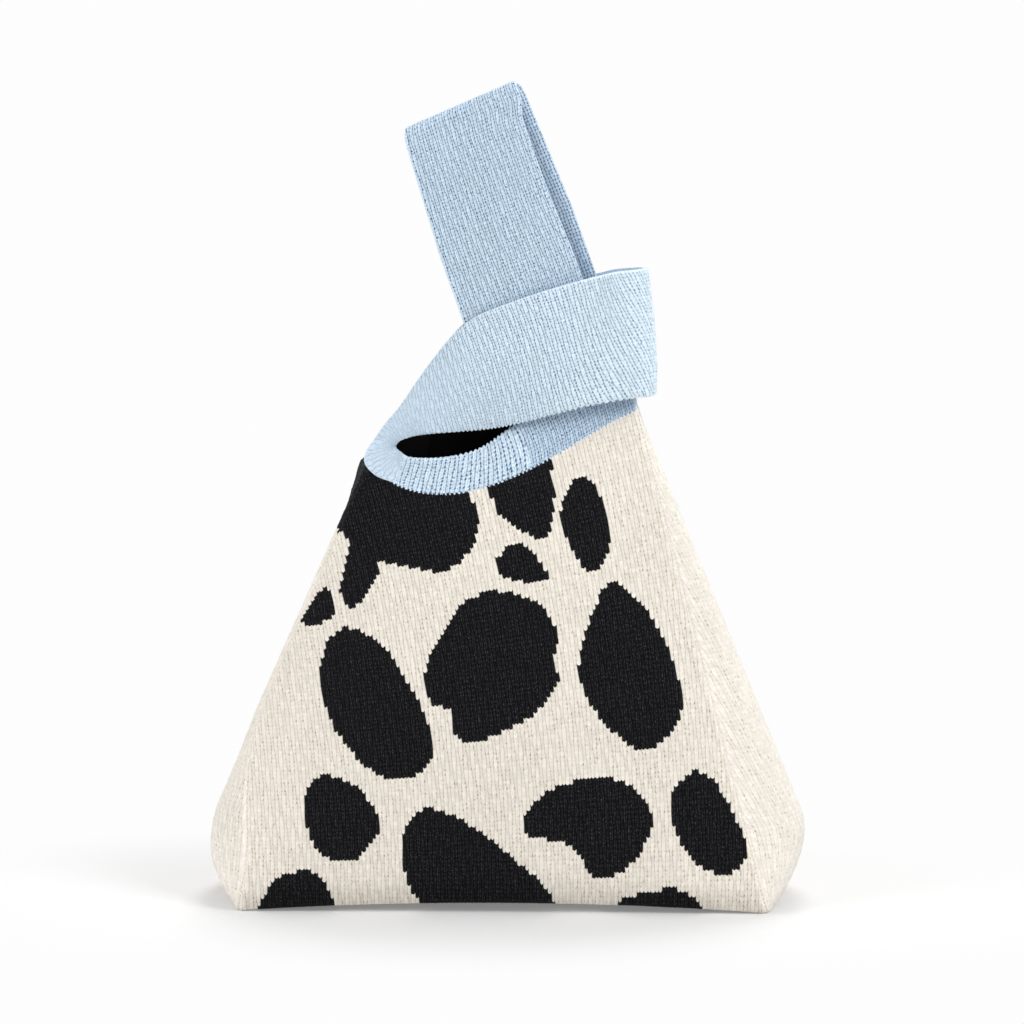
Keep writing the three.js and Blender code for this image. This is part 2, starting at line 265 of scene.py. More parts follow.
# Seams
SEAM_RADIUS = 0.65
SEAM_NECK = 0.35
SEAM_PITCH = 1.95
SEAM_SIDES = 8
SEAM_RINGS = 4
SEAM_SHADE = 1.5
BAND_SEAM_PROUD = 1.1
BAND_SEAM_SHARES = np.linspace(-0.97, 0.985, 80)
SIDE_SEAM_FROM = 2
SIDE_SEAM_STOP = 1
SIDE_SEAM_POINTS = 120
BASE_SEAM_HEIGHT = 1
BASE_SEAM_SHARES = np.linspace(-1, 1, 60)[:-1]

# Black spots on the cream panels, each a closed smooth outline of x and height; low ones are lifted
SPOT_LIFT = 2.9
SPOT_LIFT_TOP = 170
SPOT_STEPS = 8
SPOTS = {
    "under_lip": [(-96, 170), (-96, 202), (-40, 190), (-20, 184), (-12, 173), (-11.5, 166), (-13, 159),
                  (-18, 152), (-25, 147), (-35, 147), (-47, 149), (-55, 150), (-54.5, 144), (-58.5, 139),
                  (-64.5, 130), (-69, 132), (-71.5, 138), (-69, 150), (-68, 159), (-74, 163.5)],
    "under_slit": [(-8, 186), (5, 194), (17, 199), (21, 186), (21, 169), (17, 160.6), (10, 163), (-1, 170),
                   (-5.3, 178)],
    "by_shoulder": [(32.5, 188), (42.5, 177.5), (45.5, 158), (39, 146), (29.5, 156), (24.5, 173)],
    "small_middle": [(4, 159.2), (13, 155), (18.5, 143.6), (6, 142.6), (-4, 149)],
    "small_left": [(-88.5, 122), (-79.2, 137), (-74, 133), (-75.6, 124)],
    "left_oval": [(-66.5, 121), (-52, 113.5), (-41, 98), (-32.5, 81), (-31, 65.5), (-43, 56.5), (-58.5, 61),
                  (-73.5, 78.5), (-80, 98), (-76, 115.5)],
    "centre": [(-1.5, 138.5), (16, 132), (23.3, 119), (21, 108), (23.8, 99), (11.5, 84), (-12, 73),
               (-20.5, 75.5), (-22.5, 86), (-31.5, 90.5), (-33.8, 103.5), (-27.3, 119), (-16.3, 134)],
    "right_oval": [(45.5, 141.7), (58.5, 134), (69.5, 116.5), (76.5, 95), (75, 79.5), (60.5, 69.5),
                   (47.5, 77.5), (37, 90.5), (32.5, 105.5), (37, 125)],
    "low_left": [(-78.3, 57), (-63.8, 53), (-53.5, 39), (-55, 30.5), (-65.8, 20.3), (-78.8, 23),
                 (-84.8, 34.5), (-85.3, 49.5)],
    "left_corner": [(-106, -8), (-100.5, 10), (-89.5, 15.5), (-78.5, 13), (-74, -8)],
    "low_middle": [(-35, 43.5), (-24, 42), (-7, 32), (8.5, 18.5), (19.5, 8), (18.5, -6), (-26, -8),
                   (-38.5, 6), (-42.3, 16), (-44, 25), (-41.7, 36)],
    "bean": [(41, 58.2), (54, 54.4), (63, 45), (64, 34), (54, 18.5), (41, 13.5), (34.5, 21), (26, 29.5),
             (10.5, 32), (9.5, 40.5), (19.5, 51.5)],
    "right_corner": [(82.5, 60), (91, 55.5), (100, 40.5), (105.5, 27.5), (102, 17.5), (89, 16.5), (78, 27.5),
                     (72.5, 40.5), (73.5, 51.5)],
    "low_right": [(45, -8), (50, 3), (63, 8), (77, 8.8), (86.5, 1.2), (89, -8)],
}

# Yarns, and their colours as a screen shows them, one for each depth of painted shade, from a leg's painted
# highlight to a pin hole
CREAM_YARN = 0.0
BLACK_YARN = 1.0
BLUE_YARN = 2.0
CREAM = [(0, (254, 250, 244)), (0.4, (237, 229, 215)), (1, (176, 156, 128))]
BLACK = [(0, (72, 73, 77)), (0.2, (18, 18, 20)), (1, (1, 1, 2))]
BLUE = [(0.19, (232, 247, 255)), (0.42, (185, 207, 230)), (0.64, (116, 144, 178)), (1, (34, 64, 102))]

# Finish of the yarn
NOISE_RANGE = (0.3, 0.7)
CLOUD_SCALE = 35.0
FIBRE_SCALE = 5.0
STITCH_SHADES = (0.94, 1.05)
CLOUD_SHADES = (-0.02, 0.02)
FIBRE_SHADES = (-0.05, 0.05)
YARN_ROUGHNESS = (0.82, 0.96)
YARN_SPECULAR = 0.1
YARN_SHEEN = 0.04
YARN_SHEEN_ROUGHNESS = 0.5
FIBRE_BUMP = 0.35
FIBRE_BUMP_HEIGHT = 0.0003

# Floor, lamps and camera, in metres; a lamp has its place, its aim, its size and its power
FLOOR = (234, 234, 234)
FLOOR_REACH = 6
FLOOR_WHITENESS = 0.2
FLOOR_HALF = (0.12, 0.055)
FLOOR_FAR = 2.9
SKY_LEVEL = 0.53
BACKDROP_LEVEL = 0.985
LAMPS = {
    "key": ((1.6, -1.1, 1.7), (0, 0, 0.15), 1.1, 26.5),
    "fill": ((-1.8, -0.9, 1.0), (0, 0, 0.15), 1.4, 15.5),
    "top": ((0.2, 1.0, 1.9), (0, 0, 0.1), 0.9, 18),
}
CAMERA_AIM = Vector((0.0028, 0, 0.1703))
CAMERA_DISTANCE = 1.7
CAMERA_TURN = math.radians(1.5)
CAMERA_RISE = math.radians(7)
CAMERA_LENS = 136
CAMERA_SENSOR = 36

RANDOM_SEED = 20
rng = np.random.default_rng(RANDOM_SEED)


# Small tools
def mix(low, high, share):
    """Straight blend from low at share 0 to high at share 1."""
    return low + (high - low) * share


def smooth(share):
    """Zero below 0, one above 1 and level at both ends between."""
    share = np.clip(share, 0, 1)
    return share * share * (3 - 2 * share)


def stack(x, y, z):
    """Points from three coordinates, each an array or a number."""
    return np.stack(np.broadcast_arrays(x, y, z), axis=-1).astype(float)


def plain(value):
    """An edge, a dye or a tone that is the same everywhere."""
    return lambda p, *_: np.full(np.shape(p), float(value))


def cubic(t, start, leave, end, arrive):
    """Cubic from start to end as t goes from 0 to 1, with given slopes where it leaves and arrives."""
    return ((2 * t**3 - 3 * t**2 + 1) * start + (t**3 - 2 * t**2 + t) * leave
            + (3 * t**2 - 2 * t**3) * end + (t**3 - t**2) * arrive)


def curve_through(knots, points, t):
    """Smooth curve through points at knots: a cubic on each stretch, with chord slopes at its ends."""
    slopes = np.gradient(points, knots, axis=0)
    index = np.clip(np.searchsorted(knots, t, side="right") - 1, 0, len(knots) - 2)
    width = (knots[index + 1] - knots[index])[..., None]
    share = (t - knots[index])[..., None] / width
    return cubic(share, points[index], width * slopes[index], points[index + 1], width * slopes[index + 1])


# Body shape: half width and half depth at the side seams, and how far the cloth bulges past them
def seam_half(z):
    """Half width between the side seams, which narrows evenly from the base to the shoulders."""
    return mix(BASE_WIDTH, SHOULDER_WIDTH, z / BODY_HEIGHT) / 2


def seam_depth(z, rise):
    """Half depth that narrows evenly upwards and tucks in over the round of the base.

    rise is the height over the base's underside.
    """
    turn = 1 - np.clip(rise / BASE_ROUND, 0, 1)
    return mix(BASE_DEPTH, SHOULDER_DEPTH, z / BODY_HEIGHT) / 2 - BASE_TUCK * turn**2


def base_height(share):
    """Height of the base's underside, which arches up between the two sides."""
    return BASE_LIFT * (1 - np.clip(share, -1, 1)**2)


def gusset_bulge(side, z):
    """Rises fast from the base's bowed end to the fullest height, then falls evenly to the shoulder."""
    fullest, height = GUSSET_BULGE[side], GUSSET_BULGE_HEIGHT[side]
    low = mix(BASE_BOW[side], fullest, 1 - (1 - np.clip(z / height, 0, 1))**GUSSET_LOW_ROUND[side])
    share = np.clip((z - height) / (GUSSET_TOP_HEIGHT[side] - height), 0, 1)
    return np.where(z < height, low, mix(fullest, GUSSET_TOP_BULGE[side], share))


def left_turn(z):
    """Share by which the front's left edge is drawn round to the side: none near the base, then all."""
    return smooth((z - LEFT_SPREAD_FROM) / LEFT_SPREAD_RUN)


def left_spread(z):
    """How far the front's left edge lies past the seam line: a share of the left gusset's bulge."""
    return gusset_bulge(LEFT, z) * mix(LEFT_SPREAD_LOW, LEFT_SPREAD_HIGH, left_turn(z))


def wall_half(x, z, face):
    """Half width of a wall on the side where x lies; the front's left half wraps round to the side."""
    return seam_half(z) + np.where((np.asarray(x) < 0) & (face == FRONT), left_spread(z), 0)


def wall_point(share, z, face):
    """Front or back wall: a crown between the seams, highest half way up, with slow waves of soft cloth.

    The front wall turns back towards its left seam by the fourth power of the share.
    """
    x = share * wall_half(share, z, face)
    long_wave = np.sin(x / WAVE_LONG[0] + WAVE_START[0]) * np.sin(z / WAVE_LONG[1] + WAVE_START[1])
    short_wave = np.sin(x / WAVE_SHORT[0] - z / WAVE_SHORT[1])
    crown = PANEL_CROWN + WALL_SOFTNESS * (long_wave + WAVE_SHORT_SHARE * short_wave)
    crown = crown * np.sin(np.pi * np.clip(z / BODY_HEIGHT, 0, 1)) * (1 - share**2)
    depth = seam_depth(z, z - base_height(share)) + crown
    if face == FRONT:
        fade = 1 - smooth((z - LEFT_WRAP_END) / (GUSSET_TOP_HEIGHT[LEFT] - LEFT_WRAP_END))
        depth = depth - LEFT_WRAP * seam_depth(z, z) * left_turn(z) * fade * np.clip(-share, 0, 1)**4
    return stack(x, face * depth, z)


def band_height(share):
    """Line where the panel meets the mouth band: a dip with its lowest point left of the middle."""
    low = BODY_HEIGHT - BAND_DROP
    left = np.clip((BAND_LOW_SHARE - share) / (1 + BAND_LOW_SHARE), 0, None)
    right = np.clip((share - BAND_LOW_SHARE) / (1 - BAND_LOW_SHARE), 0, None)
    rise = (BAND_DROP - LEFT_SHOULDER_DROP) * left**2
    return low + rise + BAND_DROP * right**2 * (1 + BAND_EASE - BAND_EASE * right)


def band_line(x, face):
    """Height of the band seam over a place x on a wall, looked up again as the width changes with it."""
    z = np.full(np.shape(x), BODY_HEIGHT - BAND_DROP / 2)
    for _ in range(BAND_LOOKUPS):
        z = band_height(np.clip(x / wall_half(x, z, face), -1, 1))
    return z


def lip_height(share, face):
    """Upper edge of the mouth band: lowest near the slit's left end, it rises by a power of the distance.

    At the back it is never low, which shuts off the view through the slit.
    """
    left = np.clip((LIP_LOW_SHARE - share) / LIP_LEFT_RUN, 0, None)
    right = np.clip((share - LIP_LOW_SHARE) / (SLIT_RIGHT_SHARE - LIP_LOW_SHARE), 0, None)
    height = LIP_LOW + LIP_LEFT_RISE * left**LIP_LEFT_POWER + LIP_RIGHT_RISE * right**LIP_RIGHT_POWER
    return np.maximum(height, BACK_LIP_HEIGHT) if face == BACK else height


# Knitted cloth: a flat outline has an edge on each side; a stitch has its size, how it lies, its tone at a
# flat place, with painted shade and light on some cloths, and its pins, the least darkness of the holes wale
# after wale
Outline = namedtuple("Outline", "left right bottom top")
Stitch = namedtuple("Stitch", "wale course lay tone pins")


def rectangle(width, height):
    """Flat strip from 0 to width across and from 0 to height."""
    return Outline(plain(0), plain(width), plain(0), plain(height))


def trim(outline, p, q, level_q):
    """Moves flat points outside an outline to its edge; level_q is q without the bend of a stitch."""
    below, above = q < outline.bottom(p), q > outline.top(p)
    before, beyond = p < outline.left(q), p > outline.right(q)
    outside = below | above | before | beyond
    q = np.where(outside, level_q, q)
    q = np.where(below, outline.bottom(p), np.where(above, outline.top(p), q))
    p = np.where(before, outline.left(q), np.where(beyond, outline.right(q), p))
    q = np.clip(q, outline.bottom(p), outline.top(p))
    return np.clip(p, outline.left(q), outline.right(q)), q, ~outside


def edge_share(outline, p, q):
    """Distance to the nearest of the four edges along p or q, as a share of the edge's round, at most 1."""
    across = np.minimum(p - outline.left(q), outline.right(q) - p)
    along = np.minimum(q - outline.bottom(p), outline.top(p) - q)
    return np.clip(np.minimum(across, along) / EDGE_ROUND, 0, 1)


def trimmed_grid(outline, p, q, level_q):
    """Faces of a grid that reach inside an outline; outer points move to its edge and equal ones merge.

    Gives the flat points, the grid point each comes from, the corners of each face (a triangle repeats its
    last corner) and the row and column of each face.
    """
    rows, columns = p.shape
    p, q, inside = trim(outline, p, q, level_q)
    flat = np.round(np.stack([p.ravel(), q.ravel()], axis=1), MERGE_DIGITS)
    first = np.arange(rows * columns).reshape(rows, columns)
    corners = np.stack([first[:-1, :-1], first[:-1, 1:], first[1:, 1:], first[1:, :-1]], axis=-1)
    corners = corners.reshape(-1, 4)
    corners = corners[inside.ravel()[corners].any(axis=1)]
    place = np.stack(np.divmod(corners[:, 0], columns), axis=1)
    used, source, index = np.unique(flat[corners.ravel()], axis=0, return_index=True, return_inverse=True)
    source = corners.ravel()[source]
    corners = index.reshape(-1, 4)
    repeats = corners == np.roll(corners, -1, axis=1)
    turn = np.argmax(repeats, axis=1)[:, None]
    rolled = np.take_along_axis(corners, (np.arange(4)[None] + turn + 1) % 4, axis=1)
    corners = np.where(repeats.any(axis=1)[:, None], rolled, corners)
    whole = repeats.sum(axis=1) < 2
    return used, source, corners[whole], place[whole]


def border(points, corners, middle):
    """Points along the edge of a grid in order, and their angle round its middle, which never turns back.

    The edge is followed by doubling: a known run is repeated one run further on until all points are passed.
    """
    sides = np.stack([corners.ravel(), np.roll(corners, -1, axis=1).ravel()], axis=1)
    sides = sides[sides[:, 0] != sides[:, 1]]
    key = sides.min(axis=1) * len(points) + sides.max(axis=1)
    _, index, count = np.unique(key, return_index=True, return_counts=True)
    sides = sides[index[count == 1]]
    follow = np.arange(len(points))
    follow[sides[:, 0]] = sides[:, 1]
    angle = np.arctan2(points[:, 1] - middle[1], points[:, 0] - middle[0])
    run = sides[[np.argmin(angle[sides[:, 0]])], 0]
    while len(run) < len(sides):
        run = np.concatenate([run, follow[run]])
        follow = follow[follow]
    run = run[:len(sides)]
    return run, np.maximum.accumulate(np.unwrap(angle[run]))


def joining_strip(outer, outer_angle, inner, inner_angle):
    """Triangles between two edges by angle: each step of one meets the point last passed on the other."""
    outer_time = np.append(outer_angle[1:], outer_angle[0] + 2 * np.pi)
    inner_time = np.append(inner_angle[1:], inner_angle[0] + 2 * np.pi)
    met_inner = inner[np.searchsorted(inner_time, outer_time, side="left") % len(inner)]
    met_outer = outer[np.searchsorted(outer_time, inner_time, side="right") % len(outer)]
    from_outer = np.stack([np.roll(outer, -1), outer, met_inner], axis=1)
    from_inner = np.stack([inner, np.roll(inner, -1), met_outer], axis=1)
    return np.concatenate([from_outer, from_inner])


def with_normals(place, p, q):
    """Points of a surface, their outward directions, square to its two parameter lines, and its openness.

    Openness is the area of a small patch over its flat area, at most 1, so it falls where stitches crowd.
    """
    across = place(p + NORMAL_STEP, q) - place(p - NORMAL_STEP, q)
    along = place(p, q + NORMAL_STEP) - place(p, q - NORMAL_STEP)
    normal = np.cross(across, along)
    area = np.linalg.norm(normal, axis=-1)
    return place(p, q), normal / area[..., None], np.clip(area / (2 * NORMAL_STEP)**2, 0, 1)


def half_thickness(edge):
    """Half the cloth's thickness, which falls over the edge's round as a quarter circle to a thin edge."""
    return CLOTH_THICKNESS / 2 * mix(EDGE_THICKNESS_SHARE, 1, np.sqrt(1 - (1 - edge)**2))


def straight_lay(across, level):
    """Wales and courses square to each other."""
    return across, level


def leaning_lay(across, level):
    """Wales on a parabola, with courses square to them."""
    p = across - WALE_LEAN * level**2
    return p, level + 2 * WALE_LEAN * level * p


def slanting_lay(across, level):
    """Wales that come to slant evenly over level courses."""
    return across - SHORT_SLANT * level * smooth((across - SHORT_SLANT_FROM) / SHORT_SLANT_RUN), level


def stitch_place(box, stitch, u, v):
    """Flat place of a point u wales and v courses into the cloth."""
    return stitch.lay(box[0] + stitch.wale * u, box[2] + stitch.course * v)


def stitch_height(u, v):
    """Height of a stitch, from 0 to 1, at u wales and v courses.

    Two legs stand a quarter from either side, with a groove between wales, a shallower one in the middle, and
    a joint with the next stitch.
    """
    leg = np.sin(2 * np.pi * u)**2
    middle = (1 - leg) * np.sin(np.pi * u)**2
    return (leg + MIDDLE_HEIGHT * middle) * mix(1, JOINT_HEIGHT, np.cos(np.pi * v)**2)


def knit(name, place, outline, box, stitch, dye, inner_step, inside_dye=None, free=None, selvedge=None):
    """Closed shell of knitted cloth over a surface.

    The outer side is a grid of V-shaped stitches: each has two raised legs, highest half way along, over
    columns that run with the wales and rows bent to a chevron. The inner side is a plainer grid, and a strip
    joins them. box is the flat range as p from, p to, q from, q to; dye gives each stitch's yarn from the
    flat place of its middle, and inside_dye the inner side's, or it shows the same yarn and stitches; free is
    the outline of the edges that no other cloth joins; selvedge is the range of q where a line of holes runs
    one wale in from the two long edges.
    """
    free = free or outline
    wale, course = stitch.wale, stitch.course
    wales = math.ceil((box[1] - box[0]) / wale)
    courses = math.ceil((box[3] - box[2]) / course)
    u = np.arange(wales * COLUMNS_PER_STITCH + 1) / COLUMNS_PER_STITCH
    v = np.arange(-ROWS_PER_STITCH, (courses + 1) * ROWS_PER_STITCH + 1) / ROWS_PER_STITCH
    u, v = np.meshgrid(u, v)
    p, level_q = stitch_place(box, stitch, u, v)
    q = level_q + course * CHEVRON * (np.abs(2 * (u % 1) - 1) - 0.5)
    within = np.abs(u - wales / 2) < wales / 2 - 0.5
    wander = WALE_WANDER * np.sin(WANDER_WAVE * q + WANDER_SHIFT * np.floor(u + 0.5)) * within
    flat, source, corners, cell = trimmed_grid(outline, p + wander, q, level_q)
    flat_p, flat_q = flat.T
    u, v = u.ravel()[source], v.ravel()[source]

    # Tables with a value for each stitch start two courses before the cloth
    early = 2
    table = (courses + 2 * early, wales + 2)

    def from_table(values, shift):
        return values[np.floor(v + shift).astype(int) + early, np.floor(u + shift).astype(int)]

    # Relief of the legs, uneven from stitch to stitch, level at the edge
    strength = from_table(1 + STITCH_UNEVEN * rng.uniform(-1, 1, table), 0)
    edge = edge_share(free, flat_p, flat_q)
    point, normal, openness = with_normals(place, flat_p, flat_q)
    relief = RELIEF_SHARE * wale * stitch_height(u, v) * strength * edge
    outer = point + normal * (half_thickness(edge) + relief)[:, None]

    # Pin holes between wales, which come in runs
    runs = np.repeat(rng.uniform(0, 1, (courses // PIN_RUN + 2, table[1])), PIN_RUN, axis=0)[:table[0]]
    rarity = rng.uniform(0, 1, table)**mix(PIN_RARITY, 1, runs**2)
    pins = mix(np.resize(stitch.pins, table[1]), PIN_MOST, rarity)
    if selvedge:
        first, last = (round((end - box[2]) / course) + early for end in selvedge)
        pins[first:last:SELVEDGE_STEP, [1, wales - 1]] = 1

    # Painted shade, eased towards a free edge into a lighter rim and evened where stitches crowd, and yarn
    depth = openness * mix(EDGE_SHADE_SHARE, 1, edge)
    tone = CROWDED_SHADE * (1 - openness) * mix(EDGE_SHADE_SHARE, 1, edge) + stitch.tone(flat_p, flat_q)
    columns, rows = np.meshgrid(np.arange(wales) + 0.5, np.arange(-1, courses + 1) + 0.5)
    yarn = dye(*stitch_place(box, stitch, columns, rows))
    yarn = yarn[cell[:, 0] // ROWS_PER_STITCH, cell[:, 1] // COLUMNS_PER_STITCH]

    # Inner side
    inner_p = np.arange(box[0], box[1] + inner_step[0], inner_step[0])
    inner_q = np.arange(box[2], box[3] + inner_step[1], inner_step[1])
    inner_p, inner_q = np.meshgrid(inner_p, inner_q)
    inner_flat, _, inner_corners, _ = trimmed_grid(outline, inner_p, inner_q, inner_q)
    inner_p, inner_q = inner_flat.T
    point, normal, _ = with_normals(place, inner_p, inner_q)
    inner = point - normal * half_thickness(edge_share(free, inner_p, inner_q))[:, None]
    # Inner sides get an even painted shade
    inner_painted_shade, inner_depth = (LINING_SHADE, 0) if inside_dye else (INSIDE_PAINTED_SHADE, 1)
    inside_yarn = (inside_dye or dye)(inner_p, inner_q)[inner_corners[:, 0]]

    def with_inner(values, inner_value):
        return np.concatenate([values, np.full(len(inner_flat), float(inner_value))])

    # Edge strip
    middle = flat.min(axis=0) / 2 + flat.max(axis=0) / 2
    outer_rim, outer_angle = border(flat, corners, middle)
    inner_rim, inner_angle = border(inner_flat, inner_corners, middle)
    strip = joining_strip(outer_rim, outer_angle, inner_rim + len(flat), inner_angle)
    strip_yarn = with_inner(dye(flat_p, flat_q), CREAM_YARN)[strip].max(axis=1)

    # The bake map has the outer side low and the inner side in a strip above it
    bake = (np.concatenate([flat, inner_flat]) - flat.min(axis=0)) / np.ptp(flat, axis=0)
    counts = (len(flat), len(inner_flat))
    bake[:, 1] = np.repeat(BAKE_STARTS, counts) + np.repeat(BAKE_SHARES, counts) * bake[:, 1]
    stitches = np.concatenate([np.stack([u, v], axis=1), inner_flat / np.array([wale, course])])
    faces = [corners, inner_corners[:, ::-1] + len(flat), np.concatenate([strip, strip[:, 2:]], axis=1)]
    return make_mesh(
        name, np.concatenate([outer, inner]), np.concatenate(faces),
        np.concatenate([yarn, inside_yarn, strip_yarn]),
        {"tone": with_inner(tone, inner_painted_shade), "depth": with_inner(depth, inner_depth),
         "pins": with_inner(from_table(pins, 0.5), LINING_PINS)},
        {"Stitch": stitches, "OFBake": bake})


def make_mesh(name, points, corners, yarn, shades, maps):
    """Smooth mesh in metres from points and four corners a face, a triangle repeating a corner at its end.

    yarn has a value for each face, shades and maps for each point.
    """
    mesh = bpy.data.meshes.new(name)
    repeats = (corners[:, 3] == corners[:, 2]) | (corners[:, 3] == corners[:, 0])
    size = np.where(repeats, 3, 4)
    start = np.concatenate([[0], np.cumsum(size)[:-1]])
    used = np.ones_like(corners, dtype=bool)
    used[:, 3] = ~repeats
    loops = corners[used]
    mesh.vertices.add(len(points))
    mesh.vertices.foreach_set("co", (points * MM).ravel())
    mesh.loops.add(len(loops))
    mesh.loops.foreach_set("vertex_index", loops.astype(np.int32))
    mesh.polygons.add(len(size))
    mesh.polygons.foreach_set("loop_start", start.astype(np.int32))
    mesh.polygons.foreach_set("use_smooth", np.ones(len(size), dtype=bool))
    for key, values in maps.items():
        layer = mesh.uv_layers.new(name=key)
        layer.data.foreach_set("uv", values[loops].astype(np.float32).ravel())
    layer = mesh.attributes.new("yarn", "FLOAT", "FACE")
    layer.data.foreach_set("value", yarn.astype(np.float32))
    for key, values in shades.items():
        layer = mesh.attributes.new(key, "FLOAT", "POINT")
        layer.data.foreach_set("value", values.astype(np.float32))
    mesh.update(calc_edges=True)
    mesh.validate()
    piece = bpy.data.objects.new(name, mesh)
    bpy.context.scene.collection.objects.link(piece)
    return piece


# Yarn of the spotted panels
def spot_outline(points):
    """Closed smooth curve through the points of a spot."""
    points = np.array(points + points[:1], float)
    wrapped = np.concatenate([points[-3:-1], points, points[1:3]])
    knots = np.arange(len(wrapped), dtype=float)
    return curve_through(knots, wrapped, np.linspace(2, len(points) + 1, SPOT_STEPS * len(points)))


def in_spots(x, z):
    """True inside any spot, by how many times its outline crosses a level line to the right of the place."""
    inside = np.zeros(np.shape(x), dtype=bool)
    for points in SPOTS.values():
        line = spot_outline(points)
        low, high = line.min(axis=0), line.max(axis=0)
        near = (x > low[0]) & (x < high[0]) & (z > low[1]) & (z < high[1])
        at_x, at_z = x[near][:, None], z[near][:, None]
        start, end = line[:-1], line[1:]
        spans = (start[None, :, 1] > at_z) != (end[None, :, 1] > at_z)
        rise = np.where(end[:, 1] == start[:, 1], 1, end[:, 1] - start[:, 1])
        cross_x = start[:, 0] + (at_z - start[:, 1]) / rise * (end[:, 0] - start[:, 0])
        inside[near] |= (spans & (at_x < cross_x)).sum(axis=1) % 2 == 1
    return inside


def spot_dye(x, z):
    """Cream with black spots; a low place is looked up a little lower still, which lifts the spots there."""
    lift = SPOT_LIFT * np.clip(1 - z / SPOT_LIFT_TOP, 0, 1)
    return np.where(in_spots(x, z - lift), BLACK_YARN, CREAM_YARN)


# Materials
def linear(colour):
    """Light values of a colour given as a screen shows it."""
    part = np.array(colour) / 255
    light = np.where(part < 0.04045, part / 12.92, ((part + 0.055) / 1.055)**2.4)
    return (*light.tolist(), 1)


class Nodes:
    """Short ways to add nodes to one material or world."""

    def __init__(self, owner):
        self.owner = owner
        owner.use_nodes = True
        self.tree = owner.node_tree
        self.shader = self.tree.nodes.get("Principled BSDF")

    def feed(self, socket, value):
        if isinstance(value, bpy.types.NodeSocket):
            self.tree.links.new(value, socket)
        else:
            socket.default_value = value

    def feed_named(self, node, inputs):
        for key, value in inputs.items():
            self.feed(node.inputs[key.replace("_", " ")], value)

    def add(self, kind, settings=None, *in_order, **inputs):
        node = self.tree.nodes.new(kind)
        for key, value in (settings or {}).items():
            setattr(node, key, value)
        for socket, value in zip(node.inputs, in_order):
            self.feed(socket, value)
        self.feed_named(node, inputs)
        return node

    def finish(self, **inputs):
        self.feed_named(self.shader, inputs)

    def attribute(self, name):
        return self.add("ShaderNodeAttribute", {"attribute_name": name}).outputs["Fac"]

    def math(self, operation, *values):
        return self.add("ShaderNodeMath", {"operation": operation}, *values).outputs[0]

    def vector_math(self, operation, *values):
        return self.add("ShaderNodeVectorMath", {"operation": operation}, *values).outputs[0]

    def length(self, vector):
        return self.add("ShaderNodeVectorMath", {"operation": "LENGTH"}, vector).outputs["Value"]

    def blend(self, share, first, second, kind="MIX"):
        node = self.add("ShaderNodeMix", {"data_type": "RGBA", "blend_type": kind}, share)
        self.feed(node.inputs[6], first)
        self.feed(node.inputs[7], second)
        return node.outputs[2]

    def ramp(self, value, stops):
        node = self.add("ShaderNodeValToRGB", Fac=value)
        elements = node.color_ramp.elements
        elements[0].position, elements[-1].position = stops[0][0], stops[-1][0]
        for position, _ in stops[1:-1]:
            elements.new(position)
        for element, (_, colour) in zip(elements, stops):
            element.color = linear(colour)
        return node.outputs[0]

    def range(self, value, low, high, to_low, to_high, kind="LINEAR"):
        node = self.add("ShaderNodeMapRange", {"interpolation_type": kind}, value, low, high, to_low, to_high)
        return node.outputs[0]


